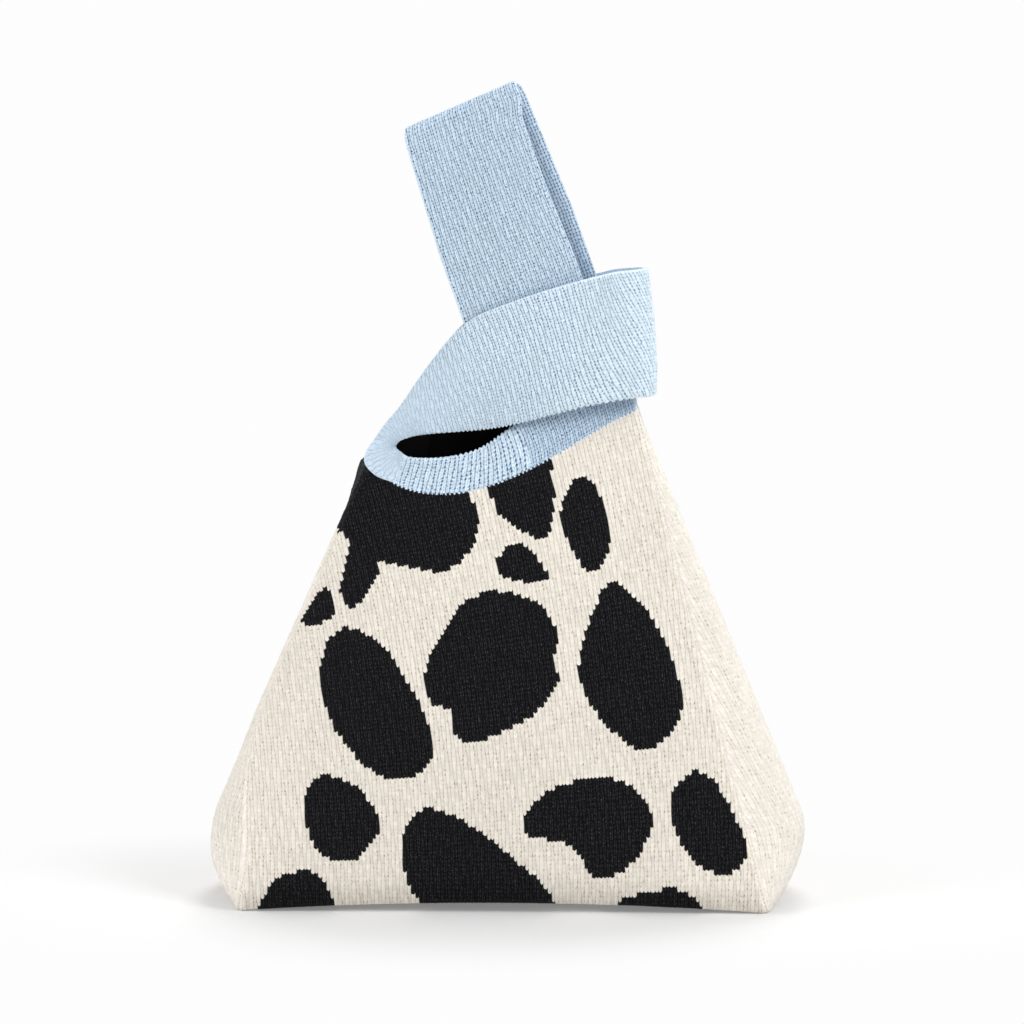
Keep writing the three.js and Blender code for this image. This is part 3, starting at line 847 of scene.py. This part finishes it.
def knit_material(name):
    """Matt yarn: a dye by stitch, painted shade in hollows and highlights on legs, fine fibres, small changes
    of shade by stitch.
    """
    n = Nodes(bpy.data.materials.new(name))
    stitch = n.add("ShaderNodeUVMap", {"uv_map": "Stitch"}).outputs[0]
    yarn, tone, depth, pins = (n.attribute(key) for key in ("yarn", "tone", "depth", "pins"))

    # Painted shade in the hollows of a stitch: the groove between wales, the fold in its middle and its joint
    parts = n.add("ShaderNodeSeparateXYZ", Vector=stitch).outputs
    from_groove = n.math("PINGPONG", parts["X"], 0.5)
    from_joint = n.math("PINGPONG", parts["Y"], 0.5)
    hollow_shade = n.math("ADD", n.range(from_groove, 0, GROOVE_REACH, GROOVE_SHADE, 0),
                    n.range(from_groove, 0.5 - MIDDLE_REACH, 0.5, 0, MIDDLE_SHADE))
    hollow_shade = n.math("ADD", hollow_shade, n.range(from_joint, 0, JOINT_REACH, JOINT_SHADE, 0))

    # A pin hole near the crossing of groove and joint: a real hole, darkened with painted shade
    crossing = n.vector_math("FLOOR", n.vector_math("ADD", stitch, (0.5, 0.5, 0)))
    wander = n.add("ShaderNodeTexWhiteNoise", {"noise_dimensions": "2D"}, Vector=crossing).outputs["Color"]
    wander = n.vector_math("MULTIPLY", n.vector_math("SUBTRACT", wander, (0.5, 0.5, 0.5)),
                           (PIN_WANDER, PIN_WANDER, 0))
    from_hole = n.length(n.vector_math("ADD", n.vector_math("SUBTRACT", stitch, crossing), wander))
    hole = n.math("MULTIPLY", pins, n.range(from_hole, PIN_REACH / 3, PIN_REACH, 1, 0))
    hollow_shade = n.math("ADD", tone, n.math("MULTIPLY", depth, n.math("ADD", hollow_shade, hole)))

    # Uneven streaks that run with the wales deepen or fill the painted shade of the hollows
    streak = n.vector_math("MULTIPLY", stitch, (GRAIN_ACROSS, GRAIN_ALONG, 1))
    grain = n.add("ShaderNodeTexNoise", Vector=streak, Scale=1.0, Detail=2.0, Roughness=0.6).outputs[0]
    hollow_shade = n.math("ADD", hollow_shade, n.range(grain, *NOISE_RANGE, GRAIN_LIGHT, GRAIN_DARK))
    # Each yarn's ramp turns the painted shade into colour, from a painted highlight on the legs to the
    # darkest hole
    is_black = n.range(yarn, CREAM_YARN, BLACK_YARN, 0, 1)
    is_blue = n.range(yarn, BLACK_YARN, BLUE_YARN, 0, 1)
    spotted = n.blend(is_black, n.ramp(hollow_shade, CREAM), n.ramp(hollow_shade, BLACK))
    dye = n.blend(is_blue, spotted, n.ramp(hollow_shade, BLUE))

    # Shade that changes from stitch to stitch, in slow clouds and along the fibres
    each = n.vector_math("FLOOR", stitch)
    by_stitch = n.add("ShaderNodeTexWhiteNoise", {"noise_dimensions": "2D"}, Vector=each).outputs[0]
    place = n.add("ShaderNodeTexCoord").outputs["Object"]
    clouds = n.add("ShaderNodeTexNoise", Vector=place, Scale=CLOUD_SCALE, Detail=3.0).outputs[0]
    fibres = n.add("ShaderNodeTexNoise", Vector=stitch, Scale=FIBRE_SCALE, Detail=4.0, Roughness=0.7)
    fibres = fibres.outputs[0]
    shade = n.range(by_stitch, 0, 1, *STITCH_SHADES)
    shade = n.math("ADD", shade, n.range(clouds, *NOISE_RANGE, *CLOUD_SHADES))
    shade = n.math("ADD", shade, n.range(fibres, *NOISE_RANGE, *FIBRE_SHADES))
    grey = n.add("ShaderNodeCombineColor", Red=shade, Green=shade, Blue=shade).outputs[0]
    bump = n.add("ShaderNodeBump", Strength=FIBRE_BUMP, Distance=FIBRE_BUMP_HEIGHT, Height=fibres)
    n.finish(Base_Color=n.blend(1.0, dye, grey, "MULTIPLY"),
             Roughness=n.range(fibres, *NOISE_RANGE, *YARN_ROUGHNESS), Specular_IOR_Level=YARN_SPECULAR,
             Sheen_Weight=YARN_SHEEN, Sheen_Roughness=YARN_SHEEN_ROUGHNESS, Normal=bump.outputs[0])
    return n.owner


knitted = knit_material("knitted_yarn")


# Pieces
def dress(piece, slot, *nodes):
    """Gives a piece the yarn and hides the nodes that it replaces."""
    piece.data.materials.append(knitted)
    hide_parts(*nodes)


def bag_cloth(node, slot, place, outline, box, stitch, dye, inner_step, free=None, **sizes):
    """Cloth with a black inner side, attached to the bag's body; the flat sizes given are not used."""
    piece = knit(node + "_knit", place, outline, box, stitch, dye, inner_step, plain(BLACK_YARN), free)
    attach(piece, "bag")
    dress(piece, slot, node)


def folded_strap(piece, body, start, end, flat, *nodes):
    """A strap folded over the bands, baked into place and given the yarn; its body and the two points are not
    used.
    """
    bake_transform(piece)
    dress(piece, "blue_knit", *nodes)


PANEL_STITCH = Stitch(BODY_WALE, BODY_COURSE, leaning_lay, plain(PANEL_TONE), BODY_PINS)
SIDE_STITCH = Stitch(BODY_WALE, BODY_COURSE, straight_lay, plain(SIDE_TONE), BODY_PINS)


def panel(face, name):
    """Front or back panel, from the base seam up to the mouth band; its flat places are x and height.

    The back is seen from the other side, so its flat places run the other way.
    """
    outline = Outline(
        lambda q: -wall_half(face, q, face), lambda q: wall_half(-face, q, face),
        lambda p: base_height(p / seam_half(0)) + FOOT_GAP, lambda p: band_line(-face * p, face))
    free = outline._replace(top=plain(2 * BODY_HEIGHT))

    def place(p, q):
        return wall_point(-face * p / wall_half(-face * p, q, face), q, face)

    def dye(p, q):
        return spot_dye(-face * p, q)

    reach = seam_half(0) + PANEL_SPARE
    lean = WALE_LEAN * BODY_HEIGHT
    box = (-reach, reach + lean * BODY_HEIGHT, 0, BODY_HEIGHT + lean * SHOULDER_WIDTH)
    bag_cloth(name, "spotted_knit", place, outline, box, PANEL_STITCH, dye, PANEL_INNER_STEP, free,
              flat=PANEL_FLAT, rests_on=["base_panel"], area=PANEL_AREA)


def gusset(side, name):
    """Side wall: a bow between the two seams; its flat places are the length across the bow and the height.

    Half the length is the root of the half depth squared and four thirds of the bulge squared. The left bow
    gives up part of what the front panel spreads over it. A blue trim goes on above the shoulder.
    """
    shoulder = GUSSET_TOP_HEIGHT[side]
    top = shoulder + GUSSET_TRIM[side]

    def half_bow(q):
        full = np.maximum(q, GUSSET_BULGE_HEIGHT[side])
        return np.sqrt(seam_depth(full, full)**2 + 4 / 3 * gusset_bulge(side, full)**2)

    def place(p, q):
        part = side * p / half_bow(q)
        front, back = wall_point(side + 0 * q, q, FRONT), wall_point(side + 0 * q, q, BACK)
        point = mix(front, back, (part + 1)[..., None] / 2)
        bulge = gusset_bulge(side, q) - GUSSET_GIVE[side] * left_spread(q)
        return point + stack(side * bulge * (1 - np.abs(part)**GUSSET_FULLNESS), 0, 0)

    def dye(p, q):
        past_seam = half_bow(q) + side * p
        spotted = spot_dye(side * (wall_half(side, q, FRONT) + past_seam), q)
        return np.where(q > shoulder, BLUE_YARN, spotted)

    outline = Outline(lambda q: -half_bow(q), half_bow, plain(FOOT_GAP), plain(top))
    reach = float(half_bow(np.array(0.0))) + GUSSET_SPARE
    box = (-reach, reach, 0, top)
    bag_cloth(name, "spotted_knit", place, outline, box, SIDE_STITCH, dye, GUSSET_INNER_STEP,
              flat=GUSSET_FLAT, rests_on=["base_panel"], area=GUSSET_AREA)


BASE_HALF_WIDTH = BASE_WIDTH / 2
BASE_HALF_DEPTH = float(seam_depth(np.array(0.0), np.array(0.0)))


def base_bow(side, share):
    """How far the base's end stands out past its corners, by the share of the half depth."""
    return BASE_BOW[side] * (1 - np.clip(np.abs(share), 0, 1)**GUSSET_FULLNESS)


def base():
    """Base: a sheet that arches up between its ends; its flat places are x and depth to the front.

    The ends are drawn out to a bow by the cube of the share of the half width.
    """
    box = (-BASE_HALF_WIDTH, BASE_HALF_WIDTH, -BASE_HALF_DEPTH, BASE_HALF_DEPTH)

    def place(p, q):
        share = p / BASE_HALF_WIDTH
        across = q / BASE_HALF_DEPTH
        bow = np.where(p < 0, base_bow(LEFT, across), base_bow(RIGHT, across))
        return stack(p + bow * share**3, -q, base_height(share) + CLOTH_THICKNESS / 2 + BASE_RISE)

    def dye(p, q):
        return spot_dye(p, q - BASE_HALF_DEPTH)

    outline = Outline(*(plain(edge) for edge in box))
    bag_cloth("base_panel", "spotted_knit", place, outline, box, SIDE_STITCH, dye, PANEL_INNER_STEP,
              flat=BASE_FLAT)


def strap_point(along, across, y):
    """Place on the long strap's leaning plane through its bend, moved forward or back by y."""
    point = LONG_BEND + along[..., None] * LONG_ALONG + across[..., None] * LONG_ACROSS
    return point + stack(0, y, 0)


def long_place(p, q):
    """Long strap: p runs across it, q along it from the front band seam over the top fold to the back seam.

    From the fold it goes down straight, its halves drawing apart and the front one's right edge tucked in,
    then each half turns on a cubic to the wall.
    """
    from_top = np.abs(q - LONG_HALF)
    in_front = q < LONG_HALF
    share = p / LONG_WIDTH
    below = np.clip(from_top - LONG_FOLD, 0, LONG_STRAIGHT)
    down_share = np.clip(below / LONG_TURN, 0, 1)
    angle = np.clip(from_top / LONG_FOLD_RADIUS, 0, np.pi / 2)
    gap = mix(LONG_FOLD_RADIUS, LONG_GAP, smooth(below / LONG_TURN)) * np.sin(angle)
    gap = gap + LONG_CROWN * (1 - (2 * share - 1)**2) * smooth(below / LONG_CROWN_RUN)

    skew = smooth((q - LONG_HALF) / (2 * LONG_FOLD) + 0.5) * mix(LONG_SKEW_TOP, LONG_SKEW, down_share)
    pinch = 1 - LONG_FOLD_PINCH * (1 - smooth(from_top / LONG_FOLD_PINCH_RUN))
    eased = mix(1, LONG_TUCK_LEAST, smooth((below - LONG_TUCK_HOLD) / LONG_TUCK_EASE))
    tuck = np.where(in_front, LONG_TUCK, 0) * smooth(below / LONG_TUCK_START) * eased
    across = (share - 0.5) * LONG_WIDTH * pinch + skew - LONG_FLARE * (1 - share) * down_share
    across = across - tuck * share**2
    along = LONG_TURN - below + LONG_FOLD_RADIUS * np.cos(angle)
    along = along - LONG_TOP_SLOPE * (1 - share) * np.clip(along / LONG_TURN, 0, 1)
    head = strap_point(along, across, np.where(in_front, FRONT, BACK) * gap)

    def on_wall(z):
        front, back = wall_point(foot_share, z, FRONT), wall_point(foot_share, z, BACK)
        return np.where(in_front[..., None], front, back)

    t = np.clip((from_top - LONG_FOLD - LONG_STRAIGHT) / LONG_ROOT, 0, 1)[..., None]
    foot_share = mix(SLIT_RIGHT_SHARE, LONG_RIGHT_SHARE, share)
    foot_z = band_height(foot_share)
    foot = on_wall(foot_z)
    ground = (foot - on_wall(foot_z + 1)) * LONG_ROOT
    return np.where(t > 0, cubic(t, head, -LONG_ALONG * LONG_ROOT, foot, ground), head)


def long_handle():
    """Long strap; its ends, and its left edge as far up as the lips reach, are joined to other cloth.

    Its roots are darker, partly for their stretched knit and partly as painted shade under the short strap.
    """
    length = 2 * LONG_HALF
    box = (0, LONG_WIDTH, 0, length)
    outline = rectangle(LONG_WIDTH, length)

    def from_end(q):
        return np.minimum(q, length - q)

    def free_left(q):
        return np.where(from_end(q) < LIP_END_WIDTH, -LONG_WIDTH, 0)

    def tone(p, q):
        return LONG_PAINTED_SHADE + LONG_ROOT_STRETCH_AND_SHADE * (1 - smooth(from_end(q) / LONG_ROOT_STRETCH_AND_SHADE_RUN))

    free = Outline(free_left, outline.right, plain(-length), plain(2 * length))
    stitch = Stitch(LONG_WALE, LONG_COURSE, straight_lay, tone, LONG_PINS)
    piece = knit("long_handle_strap", long_place, outline, box, stitch, plain(BLUE_YARN), LONG_INNER_STEP,
                 free=free, selvedge=(LIP_END_WIDTH, length - LIP_END_WIDTH))
    folded_strap(piece, "long_handle", LONG_BEND - BEND_REACH, LONG_BEND + BEND_REACH,
                 (LONG_WIDTH * MM, length * MM), "long_handle_root_front", "long_handle_root_back",
                 "long_handle_bend_front", "long_handle_bend_back", "long_handle_loop")


def band_place(face):
    """Front or back lip: p runs from the slit's left end to the long strap, q from the band seam to the lip.

    Its last half is drawn from the wall to the strap's edge, and its upper edge rolls by the cube of q.
    """
    def on_wall(share, rise):
        return wall_point(share, mix(band_height(share), lip_height(share, face), rise), face)

    def place(p, q):
        run, rise = p / BAND_RUN[face], q / LIP_WIDTH[face]
        run = 1 - run if face == BACK else run
        share = mix(SLIT_LEFT_SHARE[face], SLIT_RIGHT_SHARE + JOIN_LAP, run)
        end = on_wall(np.full_like(share, SLIT_RIGHT_SHARE), rise)
        climb = rise * LIP_END_WIDTH
        strap = long_place(0 * p, climb if face == FRONT else 2 * LONG_HALF - climb)
        roll = stack(0, face * LIP_ROLL[face] * np.clip(rise, 0, 1)**3 * (1 - run**2), 0)
        return on_wall(share, rise) + smooth(2 * run - 1)[..., None] * (strap - end) + roll

    return place


def scallop(p):
    """Small arches along an edge."""
    return SCALLOP_DEPTH * (1 - np.abs(np.sin(np.pi * p / SCALLOP_PITCH)))


def band(face, name):
    """Lip of the mouth: its scalloped upper edge is free, and its end thins to lap into the long strap."""
    run, width = BAND_RUN[face], LIP_WIDTH[face]
    outline = rectangle(run, width)._replace(top=lambda p: width - scallop(p))
    free = outline._replace(bottom=plain(-width))
    free = free._replace(left=plain(-run)) if face == FRONT else free._replace(right=plain(2 * run))
    stitch = Stitch(BAND_WALE, width / LIP_COURSES[face], straight_lay, plain(BAND_TONE), BAND_PINS)
    bag_cloth(name, "blue_knit", band_place(face), outline, (0, run, 0, width), stitch, plain(BLUE_YARN),
              BAND_INNER_STEP, free, flat=(run * MM, width * MM), rests_on=[name.replace("band", "panel")])


def short_edges():
    """Knots and the two edges of the short strap, from the front slit corner round the fold to the back one.

    The fold is half an ellipse between the last points of front and back.
    """
    def slit_end(face):
        share = np.array([SLIT_LEFT_SHARE[face] + JOIN_LAP])
        corner = wall_point(share, lip_height(share, face), face) + (0, face * LIP_ROLL[face], 0)
        return corner, wall_point(share, band_height(share), face)

    front_corner, front_seam = slit_end(FRONT)
    back_corner, back_seam = slit_end(BACK)
    flip = (1, -1, 1)
    front_lower = np.concatenate([front_corner, np.array(SHORT_LOWER_EDGE) * flip])
    front_upper = np.concatenate([front_seam, np.array(SHORT_UPPER_EDGE) * flip])
    back_lower = np.concatenate([back_corner, SHORT_BACK_LOWER_EDGE])
    back_upper = np.concatenate([back_seam, front_upper[:1] * flip, SHORT_UPPER_EDGE[1:]])
    back_upper[:, 2] -= SHORT_BACK_DROP * smooth(back_upper[:, 0] / SHORT_BACK_DROP_RUN)

    angle = np.pi * np.arange(1, SHORT_FOLD_STEPS)[:, None] / SHORT_FOLD_STEPS
    reach = np.sin(angle) * (SHORT_FOLD_REACH, 0, SHORT_FOLD_RISE)

    def all_round(front, back):
        fold = mix(front[-1], back[-1], (1 - np.cos(angle)) / 2) + reach
        return np.concatenate([front, fold, back[::-1]])

    lower, upper = all_round(front_lower, back_lower), all_round(front_upper, back_upper)
    steps = np.linalg.norm(np.diff((lower + upper) / 2, axis=0), axis=1)
    return np.concatenate([[0], np.cumsum(steps)]), lower, upper


SHORT_KNOTS, SHORT_LOWER, SHORT_UPPER = short_edges()
SHORT_LENGTH = float(SHORT_KNOTS[-1])


def short_place(p, q):
    """Short strap: p runs along it and q from its lower to its upper edge, with a slight crown between."""
    p = np.clip(p, 0, SHORT_LENGTH)
    lower = curve_through(SHORT_KNOTS, SHORT_LOWER, p)
    upper = curve_through(SHORT_KNOTS, SHORT_UPPER, p)
    share = (q / SHORT_WIDTH)[..., None]

    def middle(at):
        return curve_through(SHORT_KNOTS, (SHORT_LOWER + SHORT_UPPER) / 2, np.clip(at, 0, SHORT_LENGTH))

    normal = np.cross(middle(p + SHORT_STEP) - middle(p - SHORT_STEP), upper - lower)
    normal /= np.linalg.norm(normal, axis=-1, keepdims=True)
    from_end = np.minimum(p, SHORT_LENGTH - p)
    fade = mix(1, SHORT_CROWN_LEAST, smooth((from_end - SHORT_CROWN_FADE) / SHORT_CROWN_FADE))
    crown = SHORT_CROWN * smooth(from_end / SHORT_CROWN_RUN) * fade
    return mix(lower, upper, share) + normal * (crown[..., None] * np.sin(np.pi * np.clip(share, 0, 1)))


def short_handle():
    """Short strap; its two ends thin to lap into the lips, and its lower edge is scalloped.

    Its roots are dark inside, as the bag is, and its fold is lighter: a painted highlight where light falls
    on it.
    """
    box = (0, SHORT_LENGTH + SHORT_SLANT * SHORT_WIDTH, 0, SHORT_WIDTH)
    outline = rectangle(SHORT_LENGTH, SHORT_WIDTH)._replace(bottom=scallop)

    def lining(p, q):
        in_root = np.minimum(p, SHORT_LENGTH - p) < SHORT_DARK_RUN
        return np.where(in_root, BLACK_YARN, BLUE_YARN)

    def tone(p, q):
        from_fold = np.abs(p - SHORT_LENGTH / 2)
        return SHORT_TONE + SHORT_FOLD_PAINTED_LIGHT * (1 - smooth(from_fold / SHORT_FOLD_PAINTED_LIGHT_RUN))

    stitch = Stitch(SHORT_WALE, SHORT_COURSE, slanting_lay, tone, SHORT_PINS)
    piece = knit("short_handle_strap", short_place, outline, box, stitch, plain(BLUE_YARN), SHORT_INNER_STEP,
                 lining)
    folded_strap(piece, "short_handle", SWING_FROM, SWING_TO, (SHORT_FLAT_LENGTH, SHORT_WIDTH * MM),
                 "short_handle_root_front", "short_handle_root_back", "short_handle_loop")


def end_caps(count):
    """Flat ends of a chain: triangles from the first point of the first ring and of the last."""
    step = np.arange(1, SEAM_SIDES - 1)
    first = np.stack([0 * step, step, step + 1, step + 1], axis=1)
    last = (count - 1) * SEAM_SIDES + np.stack([0 * step, step + 1, step, step], axis=1)
    return np.concatenate([first, last])


def seam(name, run, closed, dye):
    """Chain of linking stitches: a round section along a run of points that swells once a stitch."""
    steps = np.linalg.norm(np.diff(run, axis=0), axis=1)
    length = np.concatenate([[0], np.cumsum(steps)])
    count = math.ceil(length[-1] / SEAM_PITCH) * SEAM_RINGS
    at = np.linspace(0, length[-1], count, endpoint=not closed)
    centre = stack(*(np.interp(at, length, run[:, k]) for k in range(3)))
    along = np.gradient(centre, axis=0)
    if closed:
        along = np.roll(centre, -1, axis=0) - np.roll(centre, 1, axis=0)
    along /= np.linalg.norm(along, axis=1, keepdims=True)
    side = np.cross(along, (0, 0, 1) if closed else (0, 1, 0))
    side /= np.linalg.norm(side, axis=1, keepdims=True)
    top = np.cross(side, along)
    swell = SEAM_RADIUS * mix(SEAM_NECK, 1, np.abs(np.sin(np.pi * at / SEAM_PITCH)))
    angle = np.arange(SEAM_SIDES) / SEAM_SIDES * 2 * np.pi
    reach = np.cos(angle)[None, :, None] * side[:, None] + np.sin(angle)[None, :, None] * top[:, None]
    points = (centre[:, None] + reach * swell[:, None, None]).reshape(-1, 3)

    rows = np.arange(count if closed else count - 1)[:, None]
    ahead = (rows + 1) % count
    turn = np.arange(SEAM_SIDES)[None]
    turn_on = (turn + 1) % SEAM_SIDES
    corners = [ahead * SEAM_SIDES + turn, ahead * SEAM_SIDES + turn_on, rows * SEAM_SIDES + turn_on,
               rows * SEAM_SIDES + turn]
    corners = np.stack(corners, axis=-1).reshape(-1, 4)
    if not closed:
        corners = np.concatenate([corners, end_caps(count)])
    stitches = np.stack(np.broadcast_arrays(angle[None], at[:, None] / SEAM_PITCH), axis=-1).reshape(-1, 2)
    # Painted shade at the chain's narrow necks between stitches
    hollow_shade = np.repeat(1 - swell / SEAM_RADIUS, SEAM_SIDES)
    yarn = dye(run[:, 0], run[:, 2])[np.clip(np.searchsorted(length, at), 0, len(run) - 1)]
    piece = make_mesh(name + "_chain", points, corners, yarn[corners[:, 0] // SEAM_SIDES],
                      {"tone": np.clip(hollow_shade * SEAM_SHADE, 0, 1), "depth": 0 * hollow_shade, "pins": 0 * hollow_shade},
                      {"Stitch": stitches, "OFBake": stitches / stitches.max(axis=0)})
    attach(piece, "bag")
    dress(piece, "linking_yarn", name + "_seam")


def base_seam():
    """Chain round the base: the front, the right end's bow, the back and the left end's bow."""
    share = BASE_SEAM_SHARES
    front = stack(share * BASE_HALF_WIDTH, -BASE_HALF_DEPTH, base_height(share) + BASE_SEAM_HEIGHT)
    right = stack(BASE_HALF_WIDTH + base_bow(RIGHT, share), share * BASE_HALF_DEPTH, BASE_SEAM_HEIGHT)
    left = stack(-BASE_HALF_WIDTH - base_bow(LEFT, share), -share * BASE_HALF_DEPTH, BASE_SEAM_HEIGHT)
    run = np.concatenate([front, right, front * (-1, -1, 1), left, front[:1]])
    seam("base", run, True, plain(CREAM_YARN))


SIDES = ((LEFT, "left"), (RIGHT, "right"))
for face, face_name in ((FRONT, "front"), (BACK, "back")):
    panel(face, face_name + "_panel")
    band(face, face_name + "_band")
    band_run = wall_point(BAND_SEAM_SHARES, band_height(BAND_SEAM_SHARES), face)
    seam(face_name + "_band", band_run + (0, face * BAND_SEAM_PROUD, 0), False, plain(BLUE_YARN))
    for side, side_name in SIDES:
        seam_top = float(band_height(np.array(side, float))) - SIDE_SEAM_STOP
        heights = np.linspace(SIDE_SEAM_FROM, seam_top, SIDE_SEAM_POINTS)
        side_run = wall_point(side + 0 * heights, heights, face)
        seam(f"{face_name}_{side_name}", side_run, False, spot_dye)
for side, side_name in SIDES:
    gusset(side, side_name + "_gusset")
base()
long_handle()
short_handle()
base_seam()


# Floor, light and camera
def backdrop_rays(nodes):
    """One for rays that show the backdrop: from the camera, in gloss and through glass."""
    rays = nodes.add("ShaderNodeLightPath").outputs
    mirrored = nodes.math("MAXIMUM", rays["Is Glossy Ray"], rays["Is Transmission Ray"])
    return nodes.math("MAXIMUM", rays["Is Camera Ray"], mirrored)


def floor_material():
    """Pale floor that backdrop rays see a little whitened near the object, and wholly white far off."""
    n = Nodes(bpy.data.materials.new("pale_floor"))
    n.finish(Base_Color=linear(FLOOR), Roughness=1.0, Specular_IOR_Level=0.0)
    white = n.add("ShaderNodeEmission", Color=(1, 1, 1, 1), Strength=BACKDROP_LEVEL).outputs[0]
    place = n.add("ShaderNodeTexCoord").outputs["Object"]
    far = n.length(n.vector_math("DIVIDE", place, (*FLOOR_HALF, 1)))
    whiteness = n.range(far, 1, FLOOR_FAR, FLOOR_WHITENESS, 1, "SMOOTHSTEP")
    whiteness = n.math("MULTIPLY", backdrop_rays(n), whiteness)
    shader = n.add("ShaderNodeMixShader", None, whiteness, n.shader.outputs[0], white)
    n.feed(n.tree.nodes["Material Output"].inputs["Surface"], shader.outputs[0])
    return n.owner


def place_at(holder, place, aim):
    """Puts a lamp or the camera into the scene at a place, looking at its aim."""
    bpy.context.scene.collection.objects.link(holder)
    holder.location = place
    holder.rotation_euler = (Vector(aim) - Vector(place)).to_track_quat("-Z", "Y").to_euler()


def soft_lamp(name, place, aim, size, power):
    """Round area lamp at a place, turned to its aim."""
    lamp = bpy.data.lights.new(name, "AREA")
    lamp.shape = "DISK"
    lamp.size = size
    lamp.energy = power
    place_at(bpy.data.objects.new(name, lamp), place, aim)


floor_mesh = bpy.data.meshes.new("floor")
floor_corners = [(FLOOR_REACH * x, FLOOR_REACH * y, 0) for x, y in ((-1, -1), (1, -1), (1, 1), (-1, 1))]
floor_mesh.from_pydata(floor_corners, [], [(0, 1, 2, 3)])
floor_mesh.materials.append(floor_material())
floor = bpy.data.objects.new("floor", floor_mesh)
bpy.context.scene.collection.objects.link(floor)

studio = Nodes(bpy.data.worlds.new("studio"))
sky = studio.range(backdrop_rays(studio), 0, 1, SKY_LEVEL, BACKDROP_LEVEL)
studio.feed_named(studio.tree.nodes["Background"], {"Color": (1, 1, 1, 1), "Strength": sky})
bpy.context.scene.world = studio.owner
for lamp_name, lamp_settings in LAMPS.items():
    soft_lamp(lamp_name, *lamp_settings)

camera = bpy.data.objects.new("camera", bpy.data.cameras.new("camera"))
camera.data.lens = CAMERA_LENS
camera.data.sensor_width = CAMERA_SENSOR
camera_level = math.cos(CAMERA_RISE)
camera_way = Vector((math.sin(CAMERA_TURN) * camera_level, -math.cos(CAMERA_TURN) * camera_level,
                     math.sin(CAMERA_RISE)))
place_at(camera, CAMERA_AIM + CAMERA_DISTANCE * camera_way, CAMERA_AIM)
bpy.context.scene.camera = camera
bpy.context.scene.view_settings.view_transform = "Standard"
